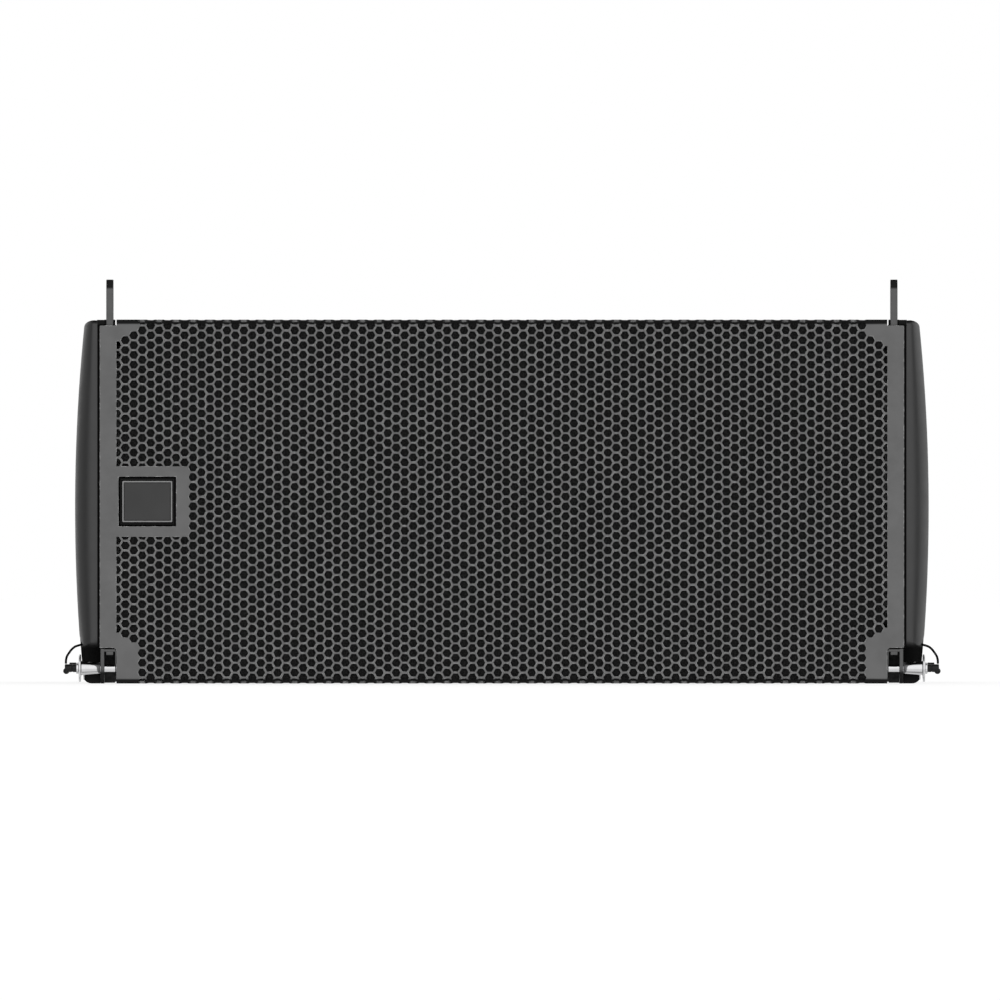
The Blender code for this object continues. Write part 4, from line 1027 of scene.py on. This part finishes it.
def end_cap(side, sign):
    rim = 0.344
    flanges = []
    for name, height in (("top", top_z), ("bottom", bottom_z)):
        corners = ((-0.124, -0.0025), (0.124, -0.0025), (0.124, 0.0025), (-0.124, 0.0025))
        outline = [(y, height(y, inset)) for y, inset in corners]
        flanges.append(side_plate(f"cap_{name}_flange_{side}", [outline], sign, 0.3245, rim))
    outline = [(CAP_FRONT, 0.305), (-0.135, 0.3), (-0.135, 0.3035), (CAP_FRONT, HEIGHT - 0.0002)]
    tab = side_plate(f"cap_tab_{side}", [outline], sign, CAP_TAB_IN, rim)
    y, z = (FRONT - 0.01, -0.2155), (-0.01, HEIGHT + 0.01)
    slit = bar(f"cap_slit_{side}", sign, 0.34, CAP_FACE_IN, y, z, 0)
    cap = boolean(cap_body(side, sign), "UNION", *flanges)
    cap = boolean(boolean(cap, "DIFFERENCE", slit), "UNION", tab)
    outline = [
        (-0.2085, 0.05), (-0.15, 0.05), (0.201, bottom_z(0.201, 0.008)), (0.201, top_z(0.201, 0.008)),
        (-0.2085, top_z(-0.2085, 0.01)),
    ]
    hollow = side_plate(f"cap_hollow_{side}", [outline], sign, 0.34, 0.35, 0.0003)
    outline = rounded_box(HANDLE_HALF + 0.0005, HANDLE_LOW - 0.0005, HANDLE_HIGH + 0.0005, 0.018)
    window = side_plate(f"cap_window_{side}", [outline], sign, 0.338, 0.38, 0.0003)
    toe = bar(f"cap_toe_{side}", sign, LIP_OUT, 0.38, (-0.235, -0.145), (-0.004, LIP_TOP + 0.0005), 0)
    cap = boolean(cap, "DIFFERENCE", hollow, pocket_cutter(side, sign), toe, window)
    edge = cap.modifiers.new("edges", "BEVEL")
    edge.width = 0.0006
    edge.segments = 2
    edge.limit_method = "ANGLE"
    edge.angle_limit = radians(40)
    edge.use_clamp_overlap = False
    made = baked(cap, 30.0)
    for vertex in made.data.vertices:  # a rounded corner doesn't reach past the flat it runs into
        vertex.co.y = max(vertex.co.y, CAP_FRONT)
        vertex.co.z = max(vertex.co.z, 0.0)
    piece(made, "cap_plastic", f"end_cap_{side}")


def handle(side, sign):
    low, high, wall = HANDLE_LOW, HANDLE_HIGH, 0.0025
    loops = []
    for x, inset, radius in (
        (0.327, 0.004, 0.0135), (0.3276, 0.0012, 0.0165), (0.329, 0.0, 0.0175), (0.3612, 0.0, 0.0175),
        (0.3618, 0.0003, 0.0172), (0.362, 0.0009, 0.0166), (0.362, 0.0016, 0.016),
        (0.3617, 0.0022, 0.0154), (0.3606, wall, 0.015), (0.3335, wall + 0.0004, 0.015),
        (0.3312, wall + 0.0014, 0.0142), (0.3299, wall + 0.0034, 0.0125), (0.3295, wall + 0.0062, 0.01),
    ):
        outline = rounded_box(HANDLE_HALF - inset, low + inset, high - inset, radius, 8)
        loops.append([(sign * x, y, z) for y, z in outline])
    made = loops_body(f"handle_recess_{side}", loops, 40.0)
    piece(made, "handle_plastic", f"handle_cup_{side}")
    far = HANDLE_HALF - 0.02
    heads = [(sign * 0.3295, y, z) for y in (-far, far) for z in (low + 0.018, high - 0.018)]
    piece(screws(f"handle_screws_{side}", heads, (sign, 0, 0), 0.0028, 0.0012), "zinc_steel")

    top = high - wall - GAP
    rows = 104
    loops = []
    for row in range(rows + 1):
        y = -0.052 + 0.104 * row / rows
        end = min(row, rows - row)
        pinch = 0.0012 * (1 - min(end, 3) / 3) ** 2
        rib = 0.00045 * (0.5 - 0.5 * cos(2 * pi * row / 4)) if 6 < end else 0.0
        near, far, low = 0.351 + pinch + rib, 0.3612 - pinch - rib, top - 0.02 + pinch + rib
        corners = [(near, top, 0.0003), (near, low, 0.0048), (far, low, 0.0048), (far, top, 0.0003)]
        loops.append([(sign * x, y, z) for x, z in rounded(corners)])
    made = loops_body(f"rubber_grip_{side}", loops, 50.0)
    piece(made, "rubber", f"side_grip_{side}")


# Rear panel


def rear_panel_fittings():
    plate_front = CAB_REAR + GAP
    plate_rear = plate_front + 0.0027
    outline = rounded_box(0.095, MID_Z - 0.052, MID_Z + 0.052, 0.008)
    holes = [circle(x, MID_Z, 0.0128, 40) for x in (-0.035, 0.035)]
    made = plate("input_panel_plate", "Y", [outline, *holes], plate_front, plate_rear, 0.0004)
    piece(made, "powder_coat", "input_plate")
    places = [(x, plate_rear, MID_Z + z) for x in (-0.087, 0.087, 0.0) for z in (-0.044, 0.044)]
    piece(screws("input_panel_screws", places, (0, 1, 0), 0.0042, 0.0022), "zinc_steel")
    seat = plate_rear + GAP - REAR
    outline = rounded([
        (0.0, -0.02, 0), (0.004, -0.02, 0), (0.004, -0.002, 0.0004), (0.005, -0.0015, 0.0004),
        (0.0055, -0.02, 0), (0.0098, -0.02, 0), (0.0098, 0.0, 0.0004), (0.015, 0.0, 0.0006),
        (0.016, -0.0012, 0.0004), (0.016, seat, 0), (0.0124, seat, 0), (0.0124, -0.03, 0.0005),
        (0.0, -0.03, 0),
    ], 3)
    for name, x in (("a", -0.035), ("b", 0.035)):
        made = turned(f"input_socket_{name}", outline, (x, REAR, MID_Z), (0, 1, 0), 56)
        piece(made, "connector_plastic", f"input_connector_{name}")
        reach = 0.0128 * sqrt(0.5)
        heads = [(x + sign * reach, REAR - 0.0007, MID_Z + sign * reach) for sign in (1, -1)]
        piece(screws(f"input_socket_screws_{name}", heads, (0, -1, 0), 0.0014, 0.0006), "zinc_steel")
    places = [(x, CAB_REAR, MID_Z + z) for x in (-0.29, -0.19, 0.19, 0.29) for z in (-0.085, 0.085)]
    piece(screws("rear_panel_screws", places, (0, 1, 0), 0.0045, 0.002), "zinc_steel")


# Woofer parts round the cone


def woofer_soft(side, sign):
    place = (sign * WOOFER_X, BAFFLE_FRONT, MID_Z)
    ahead = (0, -1, 0)
    base, middle, radius = 0.0055, 0.10525, 0.0063

    def roll(reach, way):
        turns = [pi * step / 14 for step in range(15)]
        return [(middle + way * reach * cos(a), base + reach * sin(a)) for a in turns]

    arch = roll(radius, 1) + roll(radius - 0.001, -1)
    surround = turned(f"woofer_half_roll_{side}", arch[::-1], place, ahead, 96, ring=True)
    piece(surround, "rubber", f"woofer_surround_{side}")
    ripple = [(0.027 + 0.043 * step / 60, 0.0012 * cos(pi * step / 12)) for step in range(61)]
    upper = [(spread, -0.0605 + wave) for spread, wave in ripple]
    lower = [(spread, -0.0617 + wave) for spread, wave in ripple]
    spider = turned(f"woofer_corrugation_{side}", upper + lower[::-1], place, ahead, 72, ring=True)
    piece(spider, "spider_cloth", f"woofer_spider_{side}")


# Studio


def studio():
    """A white studio seen by a long lens, and the surround that lights the object."""
    camera = bpy.data.objects.new("camera", bpy.data.cameras.new("camera"))
    camera.data.lens = 1600.0
    camera.data.sensor_width = 36.0
    camera.data.clip_end = 100.0
    distance = FRAME_WIDTH * camera.data.lens / camera.data.sensor_width
    camera.location = (-0.0016, FRONT - distance, 0.156)
    camera.rotation_euler = (radians(90), 0, 0)
    scene = bpy.context.scene
    scene.collection.objects.link(camera)
    scene.camera = camera
    scene.view_settings.view_transform = "Standard"

    world = bpy.data.worlds.new("studio_surround")
    scene.world = world
    world.use_nodes = True
    tree = world.node_tree
    ground = tree.nodes["Background"]

    def worked(operation, *values):
        return add_node(tree, "ShaderNodeMath", dict(enumerate(values)), 0, operation=operation)

    def ramp(value, stops):
        """Brightness at a position between 0 and 1, from stops of position and brightness."""
        made = tree.nodes.new("ShaderNodeValToRGB")
        elements = made.color_ramp.elements
        elements.remove(elements[1])
        for index, (position, bright) in enumerate(stops):
            spot = elements.new(position) if index else elements[0]
            spot.position = position
            spot.color = (bright, bright, bright, 1.0)
        tree.links.new(value, made.inputs["Fac"])
        return made.outputs["Color"]

    place = add_node(tree, "ShaderNodeTexCoord", {}, "Generated")
    x, y, z = (add_node(tree, "ShaderNodeSeparateXYZ", {0: place}, axis) for axis in "XYZ")
    turn = worked("ARCTAN2", x, worked("MULTIPLY", y, -1.0))
    turn = worked("MULTIPLY_ADD", turn, 0.5 / pi, 0.5)
    around = ramp(turn, [(0.5 + degrees / 360, bright / 2) for degrees, bright in SURROUND])
    rise = worked("MULTIPLY_ADD", z, 0.5, 0.5)
    upward = ramp(rise, [(0.5 + 0.5 * sine, bright) for sine, bright in UPWARD])
    light = worked("MULTIPLY", worked("MULTIPLY", around, upward), 2.0)
    direct = add_node(tree, "ShaderNodeLightPath", {}, "Is Camera Ray")
    colors = {"Factor": direct, 6: light, 7: (1.0, 1.0, 1.0, 1.0)}
    tree.links.new(add_node(tree, "ShaderNodeMix", colors, 2, data_type="RGBA"), ground.inputs["Color"])

    work = bmesh.new()
    bmesh.ops.create_grid(work, x_segments=1, y_segments=1, size=30.0)
    floor = from_bmesh("studio_floor", work)
    pale = Look("pale_floor", (0.35, 0.35, 0.35), 0.9).tone(0.01, 2.0)  # only the shadow shows on it
    pale.shader["Emission Color"].default_value = (1.0, 1.0, 1.0, 1.0)
    pale.shader["Emission Strength"].default_value = 0.77
    floor.data.materials.append(pale.made)
    floor.location.z = -0.0002
    floor.visible_diffuse = False
    floor.visible_glossy = False


looks = make_looks()

studio()
for side, sign in SIDES:
    lanyard(side, sign)
grille()
foam()
badge()
for side, sign in SIDES:
    for end, frame_maker, pivot, half, tip, direction, pin_place in (
        ("front", front_rigging, LINK_PIVOT, LINK_HALF, LINK_TOP - LINK_PIVOT[1], (0, 1), (PIN_Y, PIN_Z)),
        ("rear", rear_rigging, REAR_PIVOT, REAR_LINK_HALF, REAR_LINK_LENGTH, (-1, 0),
         (REAR_PIN_Y, REAR_PIN_Z)),
    ):
        frame_maker(side, sign)
        link_plate(end, side, sign, pivot, half, tip, direction)
        pivot_bolt(end, side, sign, pivot)
        pin(end, side, sign, *pin_place)
        pin_button(end, side, sign, *pin_place)
    rear_foot(side, sign)
    end_cap(side, sign)
    handle(side, sign)
    woofer_soft(side, sign)
rear_panel_fittings()

# CAD nodes that keep their shape
for node, made in frame["nodes"].items():
    if made.hide_render:
        continue
    slot = next(part["material_slot"] for part in frame["record"]["subparts"] if part["node"] == node)
    for spot in made.material_slots:
        spot.material = looks[slot].made
